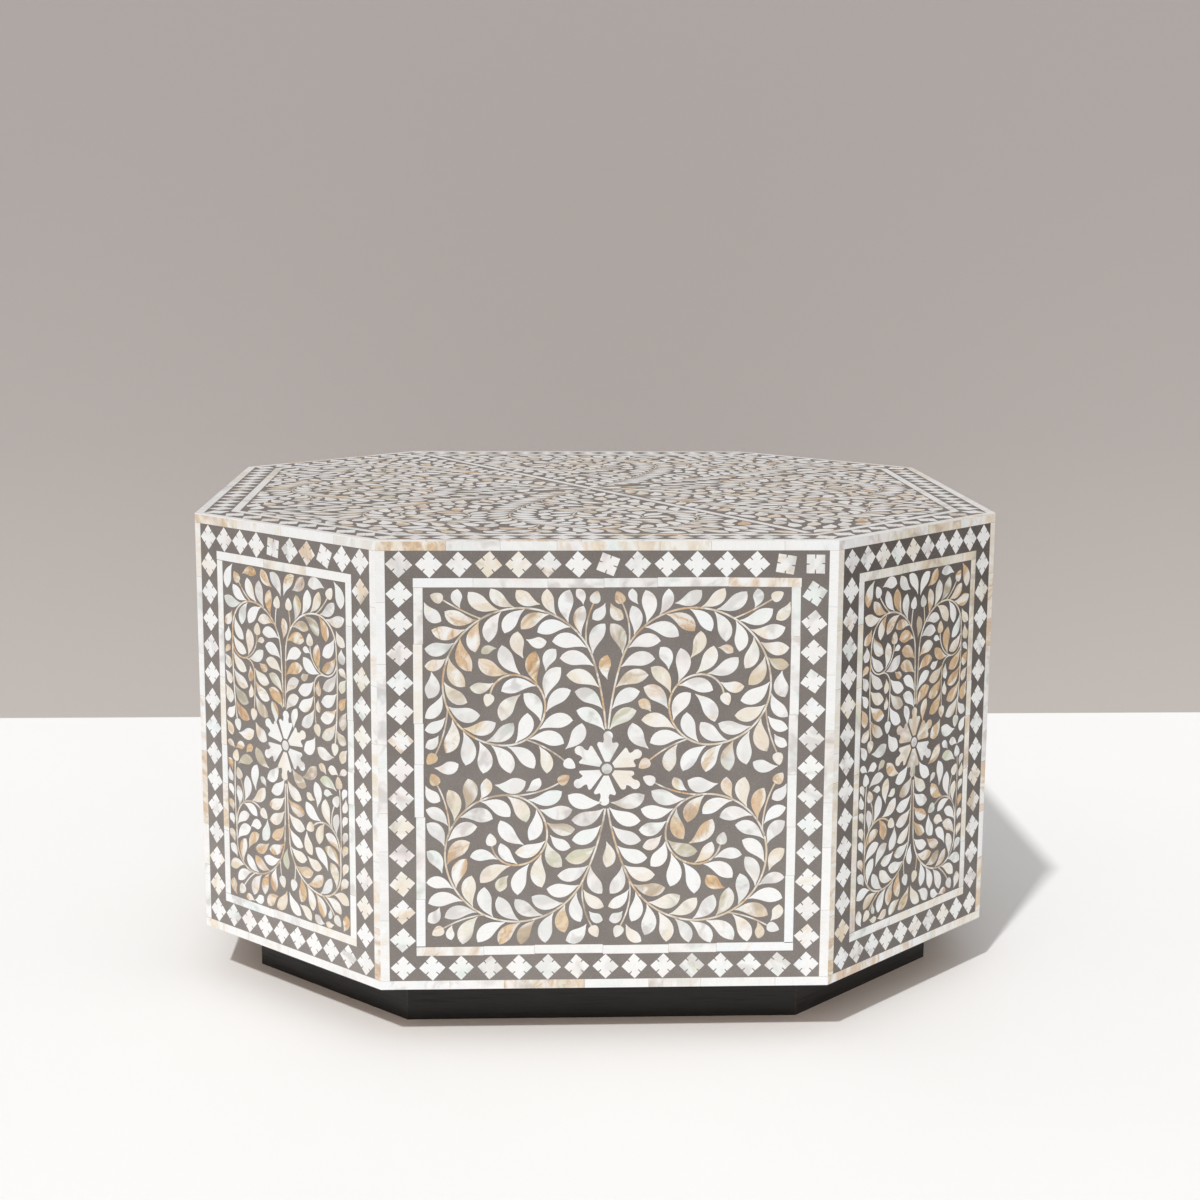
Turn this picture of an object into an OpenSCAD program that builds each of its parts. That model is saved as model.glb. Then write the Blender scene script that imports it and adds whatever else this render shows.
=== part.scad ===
// Eight-sided coffee table with mother-of-pearl inlay.
// Origin at the middle of the footprint, on the floor. +Z is up, and the front face looks along -Y.

/* [Body] */
// Width across the body, between opposite large faces
across = 760; // [700:5:820]
// Width of each of the four large faces
large_w = 400; // [370:5:430]
// Height of the table over all
table_h = 452; // [420:2:490]

/* [Carcass boards] */
// Thickness of the eight side boards
side_t = 16; // [12:1:22]
// Thickness of the top board
top_t = 18; // [15:1:25]
// Thickness of the bottom board
bottom_t = 16; // [12:1:22]
// Length of a corner post's two sides, along the boards that it joins
post_leg = 44; // [36:1:60]
// Side of the square battens under the top board
cleat = 20; // [18:1:26]
// Room left between a batten's end and the corner post beside it
cleat_gap = 6; // [2:1:15]

/* [Plinth] */
// Height of the plinth
plinth_h = 48; // [40:1:60]
// Distance that the plinth stands back from the body's faces
plinth_inset = 50; // [40:1:70]
// Thickness of the plinth boards
plinth_t = 18; // [15:1:22]
// Height of the blocks glued into the plinth's corners
block_h = 38; // [30:1:39]
// Length of a corner block's two sides, along the plinth boards
block_leg = 52; // [46:1:64]

/* [Screws] */
// Diameter of every screw's shank
screw_d = 4.5; // [4:0.5:5]
// Diameter of every screw's countersunk head
screw_head_d = 9; // [8:0.5:10]
// Height of the countersunk head
screw_head_h = 3; // [2:0.5:4]
// Room round a screw in its hole
screw_room = 0.1; // [0.05:0.05:0.2]
// Depth that a batten's screw bites into the top board
top_bite = 12; // [8:1:14]
// Depth that a bottom screw bites into its corner post
post_bite = 34; // [25:1:45]
// Depth that a plinth screw bites into the bottom board
plinth_bite = 10; // [8:1:11]

/* [Inlay skin] */
// Thickness of the dark resin ground under the pearl
ground_t = 1.7; // [1.2:0.1:2.5]
// Thickness of the mother-of-pearl pieces
pearl_t = 0.8; // [0.6:0.1:1.2]

/* [Borders] */
// Width of the pearl strips round every face
strip_w = 8; // [6:0.5:10]
// Width of the dark band that holds the diamonds
band_w = 24; // [24:0.5:28]
// Length of a usual slip of pearl in a strip
slip_l = 58; // [40:2:80]
// Joint between two slips of a strip
slip_joint = 0.25; // [0.2:0.05:0.5]
// Size of a diamond from point to point
diamond_d = 22.6; // [18:0.2:23]
// Usual spacing of the diamonds
diamond_pitch = 25.2; // [25:0.2:30]

/* [Scrolls and leaves] */
// Width of the curved stems
stem_w = 2; // [1.6:0.1:3]
// Diameter of the bud at a tendril's end
bud_d = 9; // [7:0.5:11]
// Length of the longest leaves
leaf_l = 29; // [24:1:32]
// Width of a leaf as a share of its length
leaf_ratio = 0.42; // [0.36:0.01:0.46]
// Angle between a leaf and the stem it grows from
leaf_angle = 48; // [40:1:56]
// Dark gap left between two pieces of the scrollwork
leaf_gap = 1.6; // [1.2:0.1:2.5]
// Dark gap between a stem and the foot of a leaf beside it
foot_gap = 0.4; // [0.2:0.1:1]
// Joint between two pieces of a stem
stem_joint = 0.3; // [0.2:0.1:0.6]

/* [Rosettes] */
// Diameter of the round disc at a rosette's centre
disc_d = 9.5; // [8:0.5:11]
// Number of petals
petals = 6; // [5:1:7]
// Radius from the rosette's centre to the tip of a petal
petal_r = 32; // [30:0.5:34]
// Width of a petal across its shoulders
petal_w = 19; // [15:0.5:20]

/* [Hidden] */

// Colours
ground_colour = [0.36, 0.34, 0.32];
pearl_colour = [0.93, 0.91, 0.87];
stem_colour = [0.86, 0.78, 0.64];
board_colour = [0.72, 0.58, 0.42];
batten_colour = [0.80, 0.68, 0.50];
plinth_colour = [0.16, 0.13, 0.11];
screw_colour = [0.75, 0.72, 0.62];

// The plan. Faces are counted anticlockwise from the front one, so the large ones have even numbers,
// and the narrow ones between them cut the corners at 45 degrees.
corner_turn = 45;
mitre = tan(corner_turn / 2);
narrow_w = (across - large_w) / 2 * sqrt(2);
narrow_away = (across + large_w) / 2 / sqrt(2);
function is_large(i) = i % 2 == 0;
function face_w(i) = is_large(i) ? large_w : narrow_w;
function face_away(i) = is_large(i) ? across / 2 : narrow_away;
// Half the width of face i at a depth behind its surface
function half_at(i, depth) = face_w(i) / 2 - depth * mitre;

// Levels
skin_t = ground_t + pearl_t;
wood_depth = skin_t + side_t;
body_z = plinth_h;
board_top_z = table_h - skin_t;
board_under_z = board_top_z - top_t;
bottom_top_z = body_z + bottom_t;
pearl_top_z = table_h - pearl_t;

// The inlay of a side face runs from the body's foot to the pearl of the top
face_mid_z = (body_z + pearl_top_z) / 2;
face_half_h = (pearl_top_z - body_z) / 2;
border_w = 2 * strip_w + band_w;
diamond_inset = strip_w + band_w / 2;
field_h = 2 * (face_half_h - border_w);
function field_w(i) = face_w(i) - 2 * border_w;

module on_face(i)
  rotate(corner_turn * i) translate([0, -face_away(i), face_mid_z]) rotate([90, 0, 0]) children();

// A mitred slab of face i, from depth d0 to depth d1 behind its surface and from z0 to z1
module face_slab(i, d0, d1, z0, z1)
  rotate(corner_turn * i) translate([0, 0, z0]) linear_extrude(z1 - z0)
    polygon([
      [-half_at(i, d0), d0 - face_away(i)], [half_at(i, d0), d0 - face_away(i)],
      [half_at(i, d1), d1 - face_away(i)], [-half_at(i, d1), d1 - face_away(i)]
    ]);

function turned(p, a) = [p.x * cos(a) - p.y * sin(a), p.x * sin(a) + p.y * cos(a)];
// The corner after face i, at a depth behind the surfaces
function corner(i, depth) = turned([half_at(i, depth), depth - face_away(i)], corner_turn * i);
function outline(depth) = [for (i = [0:7]) corner(i, depth)];
module octagon(depth, z0, z1)
  translate([0, 0, z0]) linear_extrude(z1 - z0) polygon(outline(depth));

// A wedge block that fills the corner after face i, with two sides of length leg
module corner_wedge(i, depth, leg, z0, z1)
  translate([0, 0, z0]) linear_extrude(z1 - z0)
    polygon([
      corner(i, depth),
      corner(i, depth) + turned([leg, 0], corner_turn * (i + 1)),
      corner(i, depth) + turned([-leg, 0], corner_turn * i)
    ]);
function wedge_middle(i, depth, leg) =
  corner(i, depth) + (turned([leg, 0], corner_turn * (i + 1)) + turned([-leg, 0], corner_turn * i)) / 3;

// A countersunk screw standing on its head at z, and the hole that takes it
module screw(p, z, length, room = 0)
  translate([p.x, p.y, z]) union() {
    cylinder(h = length + room, r = screw_d / 2 + room, $fn = 24);
    cylinder(h = screw_head_h, r1 = screw_head_d / 2 + room, r2 = screw_d / 2 + room, $fn = 24);
  }

cleat_depth = wood_depth + cleat / 2;
function cleat_end(i) = half_at(i, wood_depth) - post_leg - cleat_gap;
top_screw_places = [for (i = [0:7], s = [-1, 1])
  turned([s * (cleat_end(i) - cleat), cleat_depth - face_away(i)], corner_turn * i)];
bottom_screw_places = [for (i = [0:7]) wedge_middle(i, wood_depth, post_leg)];
plinth_depth = plinth_inset + plinth_t;
plinth_screw_places = [for (i = [0:7]) wedge_middle(i, plinth_depth, block_leg)];
top_screw_z = board_under_z - cleat;
block_z = plinth_h - block_h;

module top_screw_set(room = 0)
  for (p = top_screw_places) screw(p, top_screw_z, cleat + top_bite, room);
module bottom_screw_set(room = 0)
  for (p = bottom_screw_places) screw(p, body_z, bottom_t + post_bite, room);
module plinth_screw_set(room = 0)
  for (p = plinth_screw_places) screw(p, block_z, block_h + plinth_bite, room);

// Carcass
module board(i) color(board_colour) face_slab(i, skin_t, wood_depth, body_z, board_under_z);
module top_board() color(board_colour) difference() {
  octagon(skin_t, board_under_z, board_top_z);
  top_screw_set(screw_room);
}
module bottom_board() color(board_colour) difference() {
  octagon(wood_depth, body_z, bottom_top_z);
  bottom_screw_set(screw_room);
  plinth_screw_set(screw_room);
}
module corner_posts() color(batten_colour) difference() {
  for (i = [0:7]) corner_wedge(i, wood_depth, post_leg, bottom_top_z, board_under_z);
  bottom_screw_set(screw_room);
}
module top_cleats() color(batten_colour) difference() {
  for (i = [0:7]) rotate(corner_turn * i)
    translate([-cleat_end(i), wood_depth - face_away(i), top_screw_z])
      cube([2 * cleat_end(i), cleat, cleat]);
  top_screw_set(screw_room);
}
module top_screws() color(screw_colour) top_screw_set();
module bottom_screws() color(screw_colour) bottom_screw_set();
module plinth_screws() color(screw_colour) plinth_screw_set();

// Plinth
module plinth(i) color(plinth_colour) face_slab(i, plinth_inset, plinth_depth, 0, plinth_h);
module plinth_blocks() color(batten_colour) difference() {
  for (i = [0:7]) corner_wedge(i, plinth_depth, block_leg, block_z, plinth_h);
  plinth_screw_set(screw_room);
}

// Resin ground of a side face and of the top
module ground(i) color(ground_colour) face_slab(i, pearl_t, skin_t, body_z, board_top_z);
module top_ground() color(ground_colour) octagon(pearl_t, board_top_z, pearl_top_z);

// Strips are laid in slips of uneven length
slip_shift = 0.3;
function slip_cuts(length, seed) =
  let (n = max(1, round(length / slip_l)), shift = rands(-slip_shift, slip_shift, n + 1, seed))
  [for (k = [0:n]) (k + (k == 0 || k == n ? 0 : shift[k])) * length / n - length / 2];

// A strip of slips along X, centred, between y0 and y1. Its ends slope from half0 at y0 to half1 at y1,
// or, for a strip that meets its neighbour round a corner, its underside is shorter by under at each end.
module slip_run(half0, half1, y0, y1, seed, under = 0) {
  cuts = slip_cuts(half0 + half1, seed);
  last = len(cuts) - 1;
  for (k = [0:last - 1]) {
    a = cuts[k] + slip_joint / 2;
    b = cuts[k + 1] - slip_joint / 2;
    if (under == 0)
      translate([0, 0, -pearl_t]) linear_extrude(pearl_t) polygon([
        [k == 0 ? -half0 : a, y0], [k == last - 1 ? half0 : b, y0],
        [k == last - 1 ? half1 : b, y1], [k == 0 ? -half1 : a, y1]
      ]);
    else
      translate([0, y1, 0]) rotate([90, 0, 0]) linear_extrude(y1 - y0) polygon([
        [k == 0 ? -half0 : a, 0], [k == last - 1 ? half0 : b, 0],
        [k == last - 1 ? half0 - under : b, -pearl_t], [k == 0 ? under - half0 : a, -pearl_t]
      ]);
  }
}

// The upright strip at a side face's right-hand corner, cut to the mitre
module corner_run(i, length, seed) {
  cuts = slip_cuts(length, seed);
  half = face_w(i) / 2;
  for (k = [0:len(cuts) - 2])
    translate([0, cuts[k] + slip_joint / 2, 0]) rotate([-90, 0, 0])
      linear_extrude(cuts[k + 1] - cuts[k] - slip_joint) polygon([
        [half - strip_w, 0], [half, 0], [half - pearl_t * mitre, pearl_t], [half - strip_w, pearl_t]
      ]);
}

diamond_side = diamond_d / sqrt(2);
module diamond(p, turn)
  translate([p.x, p.y, -pearl_t]) rotate(45 + turn)
    translate([-diamond_side / 2, -diamond_side / 2, 0]) cube([diamond_side, diamond_side, pearl_t]);

// Hand-laid diamonds stand a few degrees off true, and three in the front face's top row are turned,
// each listed with its place in the row and its angle
front_turned = [[7, 24], [13, 36], [14, 45]];
most_wobble = 3;
function wobble(k, seed) = rands(-most_wobble, most_wobble, 1, 31 * seed + k)[0];
function front_turn(k) =
  let (found = [for (t = front_turned) if (t[0] == k) t[1]])
  len(found) > 0 ? found[0] : 0;

module side_diamonds(i) {
  edge_x = face_w(i) / 2 - diamond_inset;
  edge_y = face_half_h - diamond_inset;
  columns = round(2 * edge_x / diamond_pitch);
  rows = round(2 * edge_y / diamond_pitch);
  for (c = [0:columns], s = [-1, 1])
    diamond([(2 * c / columns - 1) * edge_x, s * edge_y],
      i == 0 && s == 1 && front_turn(c) != 0 ? front_turn(c) : wobble(c, 2 * i + s + 1));
  for (r = [1:rows - 1], s = [-1, 1])
    diamond([s * edge_x, (2 * r / rows - 1) * edge_y], wobble(r, 20 + 2 * i + s));
}

module border(i) color(pearl_colour) on_face(i) {
  half = face_w(i) / 2;
  for (s = [0, 1]) mirror([0, s, 0])
    slip_run(half, half, face_half_h - strip_w, face_half_h, 10 * i + s + 1, pearl_t * mitre);
  for (s = [0, 1]) mirror([s, 0, 0])
    corner_run(i, 2 * (face_half_h - strip_w) - slip_joint, 10 * i + s + 3);
  inner_x = field_w(i) / 2;
  inner_y = field_h / 2;
  for (s = [0, 1]) mirror([0, s, 0])
    slip_run(inner_x + strip_w, inner_x + strip_w, inner_y, inner_y + strip_w, 10 * i + s + 5);
  for (s = [0, 1]) mirror([s, 0, 0]) rotate(-90)
    slip_run(inner_y - slip_joint, inner_y - slip_joint, inner_x, inner_x + strip_w, 10 * i + s + 7);
  side_diamonds(i);
}

// The top's borders, laid along the eight edges, and one strip from corner to corner across the middle
module on_top(i) translate([0, 0, table_h]) rotate(corner_turn * i) children();
top_strip_turn = atan2(corner(0, border_w).y, corner(0, border_w).x);
module top_edge_run(i, inset, seed)
  on_top(i) slip_run(half_at(i, inset) - slip_joint / 2, half_at(i, inset + strip_w) - slip_joint / 2,
    inset - face_away(i), inset + strip_w - face_away(i), seed);
module top_border() color(pearl_colour) {
  for (i = [0:7]) {
    top_edge_run(i, 0, 100 + i);
    top_edge_run(i, strip_w + band_w, 120 + i);
    intervals = round(2 * half_at(i, diamond_inset) / diamond_pitch);
    on_top(i) for (k = [0:intervals - 1])
      diamond([(2 * k / intervals - 1) * half_at(i, diamond_inset), diamond_inset - face_away(i)],
        k == 0 ? -corner_turn / 2 : wobble(k, 200 + i));
  }
  reach = norm(corner(0, border_w)) - strip_w;
  translate([0, 0, table_h]) rotate(top_strip_turn)
    slip_run(reach, reach, -strip_w / 2, strip_w / 2, 150);
}

// Stems. A stem starts at a point with a heading, and runs on in true arcs, each given by its radius
// and how far it turns: to the left if positive, and to the right if negative.
function arc_side(arc) = arc[1] > 0 ? 1 : -1;
function arc_centre(at, arc) =
  [at[0] - arc_side(arc) * arc[0] * sin(at[2]), at[1] + arc_side(arc) * arc[0] * cos(at[2])];
function arc_point(at, arc, share) =
  let (c = arc_centre(at, arc), heading = at[2] + share * arc[1])
  [c.x + arc_side(arc) * arc[0] * sin(heading), c.y - arc_side(arc) * arc[0] * cos(heading), heading];
function stem_states(at, arcs, k = 0) =
  k == len(arcs) ? [at] : concat([at], stem_states(arc_point(at, arcs[k], 1), arcs, k + 1));
function arc_length(arc) = arc[0] * abs(arc[1]) * PI / 180;
// Points with headings along a stem, about one every step
function stem_walk(stem, step) =
  let (states = stem_states(stem[0], stem[1]))
  [for (k = [0:len(stem[1]) - 1])
    let (arc = stem[1][k], n = max(1, round(arc_length(arc) / step)))
    for (j = [0:n - 1]) arc_point(states[k], arc, (j + 0.5) / n)];
// The middle of the bud at a stem's end
function bud_at(stem) =
  let (states = stem_states(stem[0], stem[1]), tip = states[len(states) - 1], ahead = bud_d / 2 + stem_joint)
  [tip[0] + ahead * cos(tip[2]), tip[1] + ahead * sin(tip[2])];

// A stem is laid as one piece an arc, and its fourth entry is the length left out at its start
module stem(stem) {
  states = stem_states(stem[0], stem[1]);
  for (k = [0:len(stem[1]) - 1]) {
    arc = stem[1][k];
    c = arc_centre(states[k], arc);
    skip = k == 0 ? stem[3] : stem_joint / 2;
    share0 = skip / arc_length(arc);
    share1 = 1 - stem_joint / 2 / arc_length(arc);
    translate([c.x, c.y, -pearl_t]) rotate(states[k][2] - 90 * arc_side(arc) + share0 * arc[1])
      rotate_extrude(angle = (share1 - share0) * arc[1], $fn = 96)
        translate([arc[0] - stem_w / 2, 0]) square([stem_w, pearl_t]);
  }
  bud = bud_at(stem);
  translate([bud.x, bud.y, -pearl_t]) cylinder(h = pearl_t, r = bud_d / 2, $fn = 32);
}
// A stem's third entry lists its branches. Each leaves one of the stem's arcs, at a share of that arc,
// turned off by an angle, and runs on in arcs of its own: [arc, share, angle, arcs, branches].
function scaled_arcs(arcs, k) = [for (arc = arcs) [arc[0] * k, arc[1]]];
function scaled_branches(branches, k) =
  [for (b = branches) [b[0], b[1], b[2], scaled_arcs(b[3], k), len(b) > 4 ? scaled_branches(b[4], k) : []]];
function scaled(stem, k, start) = [start, scaled_arcs(stem[1], k), scaled_branches(stem[2], k), 0];
// A branch's first piece starts where both its corners are clear of the stem that it leaves
branch_step = 0.5;
function corner_clear(at, side, walk) =
  let (p = [at[0] - side * stem_w / 2 * sin(at[2]), at[1] + side * stem_w / 2 * cos(at[2])])
  min([for (q = walk) norm([q.x, q.y] - p)]) > stem_w / 2 + stem_joint;
function clear_from(start, arc, walk, t) =
  let (at = arc_point(start, arc, t / arc_length(arc)))
  t > arc_length(arc) - branch_step || (corner_clear(at, 1, walk) && corner_clear(at, -1, walk)) ? t :
  clear_from(start, arc, walk, t + branch_step);
function branch_stem(stem, b, walk) =
  let (p = arc_point(stem_states(stem[0], stem[1])[b[0]], stem[1][b[0]], b[1]),
    start = [p.x, p.y, p.z + b[2]])
  [start, b[3], b[4], clear_from(start, b[3][0], walk, stem_w / 2)];
function all_stems(stem) =
  let (walk = len(stem[2]) > 0 ? stem_walk(stem, 1) : [])
  concat([stem], [for (b = stem[2]) each all_stems(branch_stem(stem, b, walk))]);

// One quarter of a large and of a narrow field, with its stems climbing from the rosette, swinging out
// to the left and winding in. They are drawn for fields of these widths, the large one as high as it is wide,
// and each starts with its heading.
drawn_field = 320;
drawn_narrow = 174.6;
large_upper = [94, [[290, 12], [66, 74], [68, 90], [54, 90], [35, 90], [28, 90], [20, 80]], [
  [1, 0.2, -23, [[62, -34]]],
  [2, 0.34, -52, [[190, -11]]],
  [3, 0.25, -26, [[110, -22]]],
  [4, 0.35, -50, [[100, -22]]]
]];
large_lower = [98, [[230, 17], [66, 65], [62, 90], [54, 90], [36, 90], [28, 90], [21, 80]], [
  [1, 0, -16, [[66, -38]]],
  [2, 0.3, -34, [[90, -24]]],
  [3, 0.25, -22, [[90, -28]]],
  [4, 0.1, -9, [[80, -30]]]
]];
narrow_upper = [92, [[3000, 1], [42, 88], [28, 85], [420, 12]], [
  [1, 0.35, -31, [[60, -16]]],
  [2, 0, -34, [[60, -22]]],
  [3, 0.16, 4, [[15, 98], [12, -98], [220, -9]], [[0, 0.9, 6, [[24, 84]]]]]
]];
narrow_lower = [92, [[3000, 1], [46, 86], [26, 86], [110, 14], [22, 120]], [
  [1, 0.35, -31, [[60, -14]]],
  [2, 0, -30, [[60, -22]]],
  [3, 0.5, -6, [[480, 8]]],
  [4, 0.4, -44, [[30, -30], [40, -10]]]
]];

// One quarter of the top: a wide scroll outwards along X, and a narrow one that is turned to the next
// corner. They are drawn for a field that reaches this far from the middle.
drawn_top = 340;
top_wide = [[20, -8, -34], [
  [510, 21], [96, 103], [80, 90], [66, 90], [50, 90], [38, 90], [27, 90], [18, 90]
], [
  [0, 0.5, 24, [[90, 20]]],
  [1, 0.55, -44, [[60, -20]]],
  [2, 0.5, -40, [[80, 20]]],
  [4, 0.1, -36, [[60, -30]]]
]];
top_narrow = [[24, 0, -11], [
  [1450, 9.5], [56, 92], [50, 90], [42, 90], [32, 90], [23, 90], [16, 90]
], [
  [0, 0.45, 16, [[90, 20]]],
  [1, 0.7, -44, [[70, -30]]],
  [2, 0.6, -40, [[60, 20]]]
]];
top_scale = (across / 2 - border_w) / drawn_top;
function top_stems(drawn, turn) =
  let (foot = turned([drawn[0][0], drawn[0][1]], turn) * top_scale)
  all_stems(scaled(drawn, top_scale, concat(foot, [drawn[0][2] + turn])));
top_quarter = concat(top_stems(top_wide, 0), top_stems(top_narrow, -corner_turn));
large_scale = min(field_w(0), field_h) / drawn_field;
narrow_scale = min(field_w(1) / drawn_narrow, field_h / drawn_field);
function drawn_quarter(i, upper) =
  is_large(i) ? (upper ? large_upper : large_lower) : (upper ? narrow_upper : narrow_lower);
// A quarter's first stem starts over the rosette, just left of its mirror image
rosette_gap = 4;
stem_foot = [-(stem_w + stem_joint) / 2, petal_r + rosette_gap];
function quarter(i, upper) =
  let (drawn = drawn_quarter(i, upper), k = is_large(i) ? large_scale : narrow_scale)
  all_stems(scaled(drawn, k, concat(stem_foot, [drawn[0]])));

// A petal is a wedge with a pair of scallops on its shoulders, a neck and a ball at its tip
ball_r = 4.1;
neck_w = 6.4;
petal_foot_w = 4.4;
petal_foot_y = disc_d / 2 + 3;
shoulder_y = petal_r - 11.5;
scallop_r = 2.5;
scallop_x = petal_w / 2 - 1.6 * scallop_r;
module petal() linear_extrude(pearl_t) union() {
  polygon([
    [-petal_foot_w / 2, petal_foot_y], [petal_foot_w / 2, petal_foot_y],
    [petal_w / 2, shoulder_y], [-petal_w / 2, shoulder_y]
  ]);
  for (s = [-1, 1]) translate([s * scallop_x, shoulder_y]) circle(scallop_r, $fn = 24);
  translate([-neck_w / 2, shoulder_y - scallop_r])
    square([neck_w, petal_r - ball_r - shoulder_y + scallop_r]);
  translate([0, petal_r - ball_r]) circle(ball_r, $fn = 32);
}
module rosette() translate([0, 0, -pearl_t]) {
  cylinder(h = pearl_t, r = disc_d / 2, $fn = 48);
  for (k = [0:petals - 1]) rotate(k * 360 / petals) petal();
}
// Round areas that cover the rosette, as [x, y, radius]
petal_rooms = [[15, 5], [22, petal_w / 2], [petal_r - ball_r, ball_r]];
rosette_room = [
  [0, 0, petal_foot_y + 1],
  for (k = [0:petals - 1], d = petal_rooms) concat(turned([0, d[0]], k * 360 / petals), [d[1]])
];

module scroll(i) color(stem_colour) on_face(i) {
  rosette();
  for (s = [0, 1]) mirror([s, 0, 0]) {
    for (stem = quarter(i, true)) stem(stem);
    mirror([0, 1, 0]) for (stem = quarter(i, false)) stem(stem);
  }
}
module top_scroll() color(stem_colour)
  for (k = [0:3]) on_top(2 * k) for (stem = top_quarter) stem(stem);

// Leaves. A leaf is [x, y, direction, length, side]: it starts at x, y, and bulges to its side.
leaf_sizes = [1, 0.88, 0.76, 0.64, 0.54];
side_rows = 4;
top_rows = 4;
row_overlap = 0.78;
row_step = row_overlap * leaf_l * sin(leaf_angle) + leaf_gap;
// Share of a leaf's width that lies on its full side
full_bulge = 0.68;
// Round areas that cover a leaf, as [x, y, radius], from just past its foot to its tip
function leaf_room(leaf) =
  let (w = leaf[3] * leaf_ratio, c = cos(leaf[2]), s = sin(leaf[2]),
    lift = (2 * full_bulge - 1) / 2 * w * leaf[4])
  [for (t = [0.2, 0.42, 0.64, 0.86, 1])
    let (swell = 4 * t * (1 - t), x = leaf[3] * t, y = lift * swell)
    [leaf[0] + x * c - y * s, leaf[1] + x * s + y * c, swell * w / 2]];
function apart(room, others) =
  len([for (a = room, b = others) if (norm([a.x - b.x, a.y - b.y]) < a.z + b.z + leaf_gap) 1]) == 0;
// A field is bounded by lines, each [x, y, d], and holds the points p with p * [x, y] under d
function within(room, lines) =
  len([for (a = room, l = lines) if (a.x * l.x + a.y * l.y > l.z - a.z) 1]) == 0;
// The largest leaf that fits at a start, given as [x, y, direction, length, side, number of sizes]
function first_fit(c, near, lines, k = 0) =
  k == c[5] ? undef :
  let (leaf = [c[0], c[1], c[2], c[3] * leaf_sizes[k], c[4]], room = leaf_room(leaf))
  within(room, lines) && apart(room, near) ? leaf : first_fit(c, near, lines, k + 1);
function near_by(c, rooms) =
  let (m = [c[0] + c[3] / 2 * cos(c[2]), c[1] + c[3] / 2 * sin(c[2])])
  [for (a = rooms) if (norm([a.x - m.x, a.y - m.y]) < c[3] / 2 + a.z + leaf_gap) a];
function grow(starts, lines, rooms, leaves = [], k = 0) =
  k == len(starts) ? leaves :
  let (fit = first_fit(starts[k], near_by(starts[k], rooms), lines))
  grow(starts, lines, fit == undef ? rooms : concat(rooms, leaf_room(fit)),
    fit == undef ? leaves : concat(leaves, [fit]), k + 1);

stem_step = 3;
leaf_step = 6;
function stem_room(stem) =
  concat([for (p = stem_walk(stem, stem_step)) [p.x, p.y, stem_w / 2 + foot_gap - leaf_gap]],
    [concat(bud_at(stem), [bud_d / 2])]);
// Starts to try, row by row away from the stems. Leaves vary in length, and the smallest size is kept
// for the row beside a stem.
length_spread = 0.1;
function length_share(p) = 1 - length_spread + length_spread * sin(97 * p.x + 61 * p.y);
function leaf_starts(stems, rows) =
  [for (row = [0:rows - 1], stem = stems, p = stem_walk(stem, leaf_step), side = [1, -1])
    let (away = side * (stem_w / 2 + foot_gap + row * row_step))
    [p.x - away * sin(p[2]), p.y + away * cos(p[2]), p[2] + side * leaf_angle,
      leaf_l * length_share(p), -side, len(leaf_sizes) - (row == 0 ? 0 : 1)]];
function filled(stems, lines, rows, taken = []) =
  grow(leaf_starts(stems, rows), lines, concat(taken, [for (s = stems) each stem_room(s)]));

function quarter_lines(i) = [
  [1, 0, -leaf_gap / 2],
  [-1, 0, field_w(i) / 2 - leaf_gap],
  [0, -1, -leaf_gap / 2],
  [0, 1, field_h / 2 - leaf_gap]
];
function side_leaves(i, upper) = filled(quarter(i, upper), quarter_lines(i), side_rows, rosette_room);

// A quarter of the top lies between two lines from the middle: anticlockwise of its low line
// and clockwise of its high line, and clear of each by a distance
function low_line(turn, clear) = [sin(turn), -cos(turn), -clear];
function high_line(turn, clear) = [-sin(turn), cos(turn), -clear];
function top_lines(low_clear, high_clear) = [
  low_line(top_strip_turn, low_clear),
  high_line(top_strip_turn + 90, high_clear),
  [1, 0, across / 2 - border_w - leaf_gap],
  [0, -1, across / 2 - border_w - leaf_gap],
  [sqrt(0.5), -sqrt(0.5), narrow_away - border_w - leaf_gap]
];
// The leaves of a quarter whose low line, or else high line, is the strip across the middle
strip_clear = strip_w / 2 + leaf_gap;
function top_leaf_set(strip_low) =
  filled(top_quarter, strip_low ? top_lines(strip_clear, leaf_gap / 2) : top_lines(leaf_gap / 2, strip_clear),
    top_rows);

module leaf(leaf) {
  l = leaf[3];
  a = full_bulge * leaf_ratio * l;
  b = (1 - full_bulge) * leaf_ratio * l;
  ra = (l * l / 4 + a * a) / (2 * a);
  rb = (l * l / 4 + b * b) / (2 * b);
  translate([leaf[0], leaf[1], -pearl_t]) rotate(leaf[2]) linear_extrude(pearl_t)
    intersection() {
      translate([l / 2, leaf[4] * (a - ra)]) circle(ra, $fn = 90);
      translate([l / 2, leaf[4] * (rb - b)]) circle(rb, $fn = 90);
    }
}

module leaves(i) color(pearl_colour) on_face(i)
  for (upper = [true, false]) {
    set = side_leaves(i, upper);
    for (s = [0, 1]) mirror([s, 0, 0]) mirror([0, upper ? 0 : 1, 0])
      for (l = set) leaf(l);
  }
module top_leaves() color(pearl_colour) {
  low = top_leaf_set(true);
  high = top_leaf_set(false);
  for (k = [0:3]) on_top(2 * k) for (l = k % 2 == 0 ? low : high) leaf(l);
}

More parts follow.
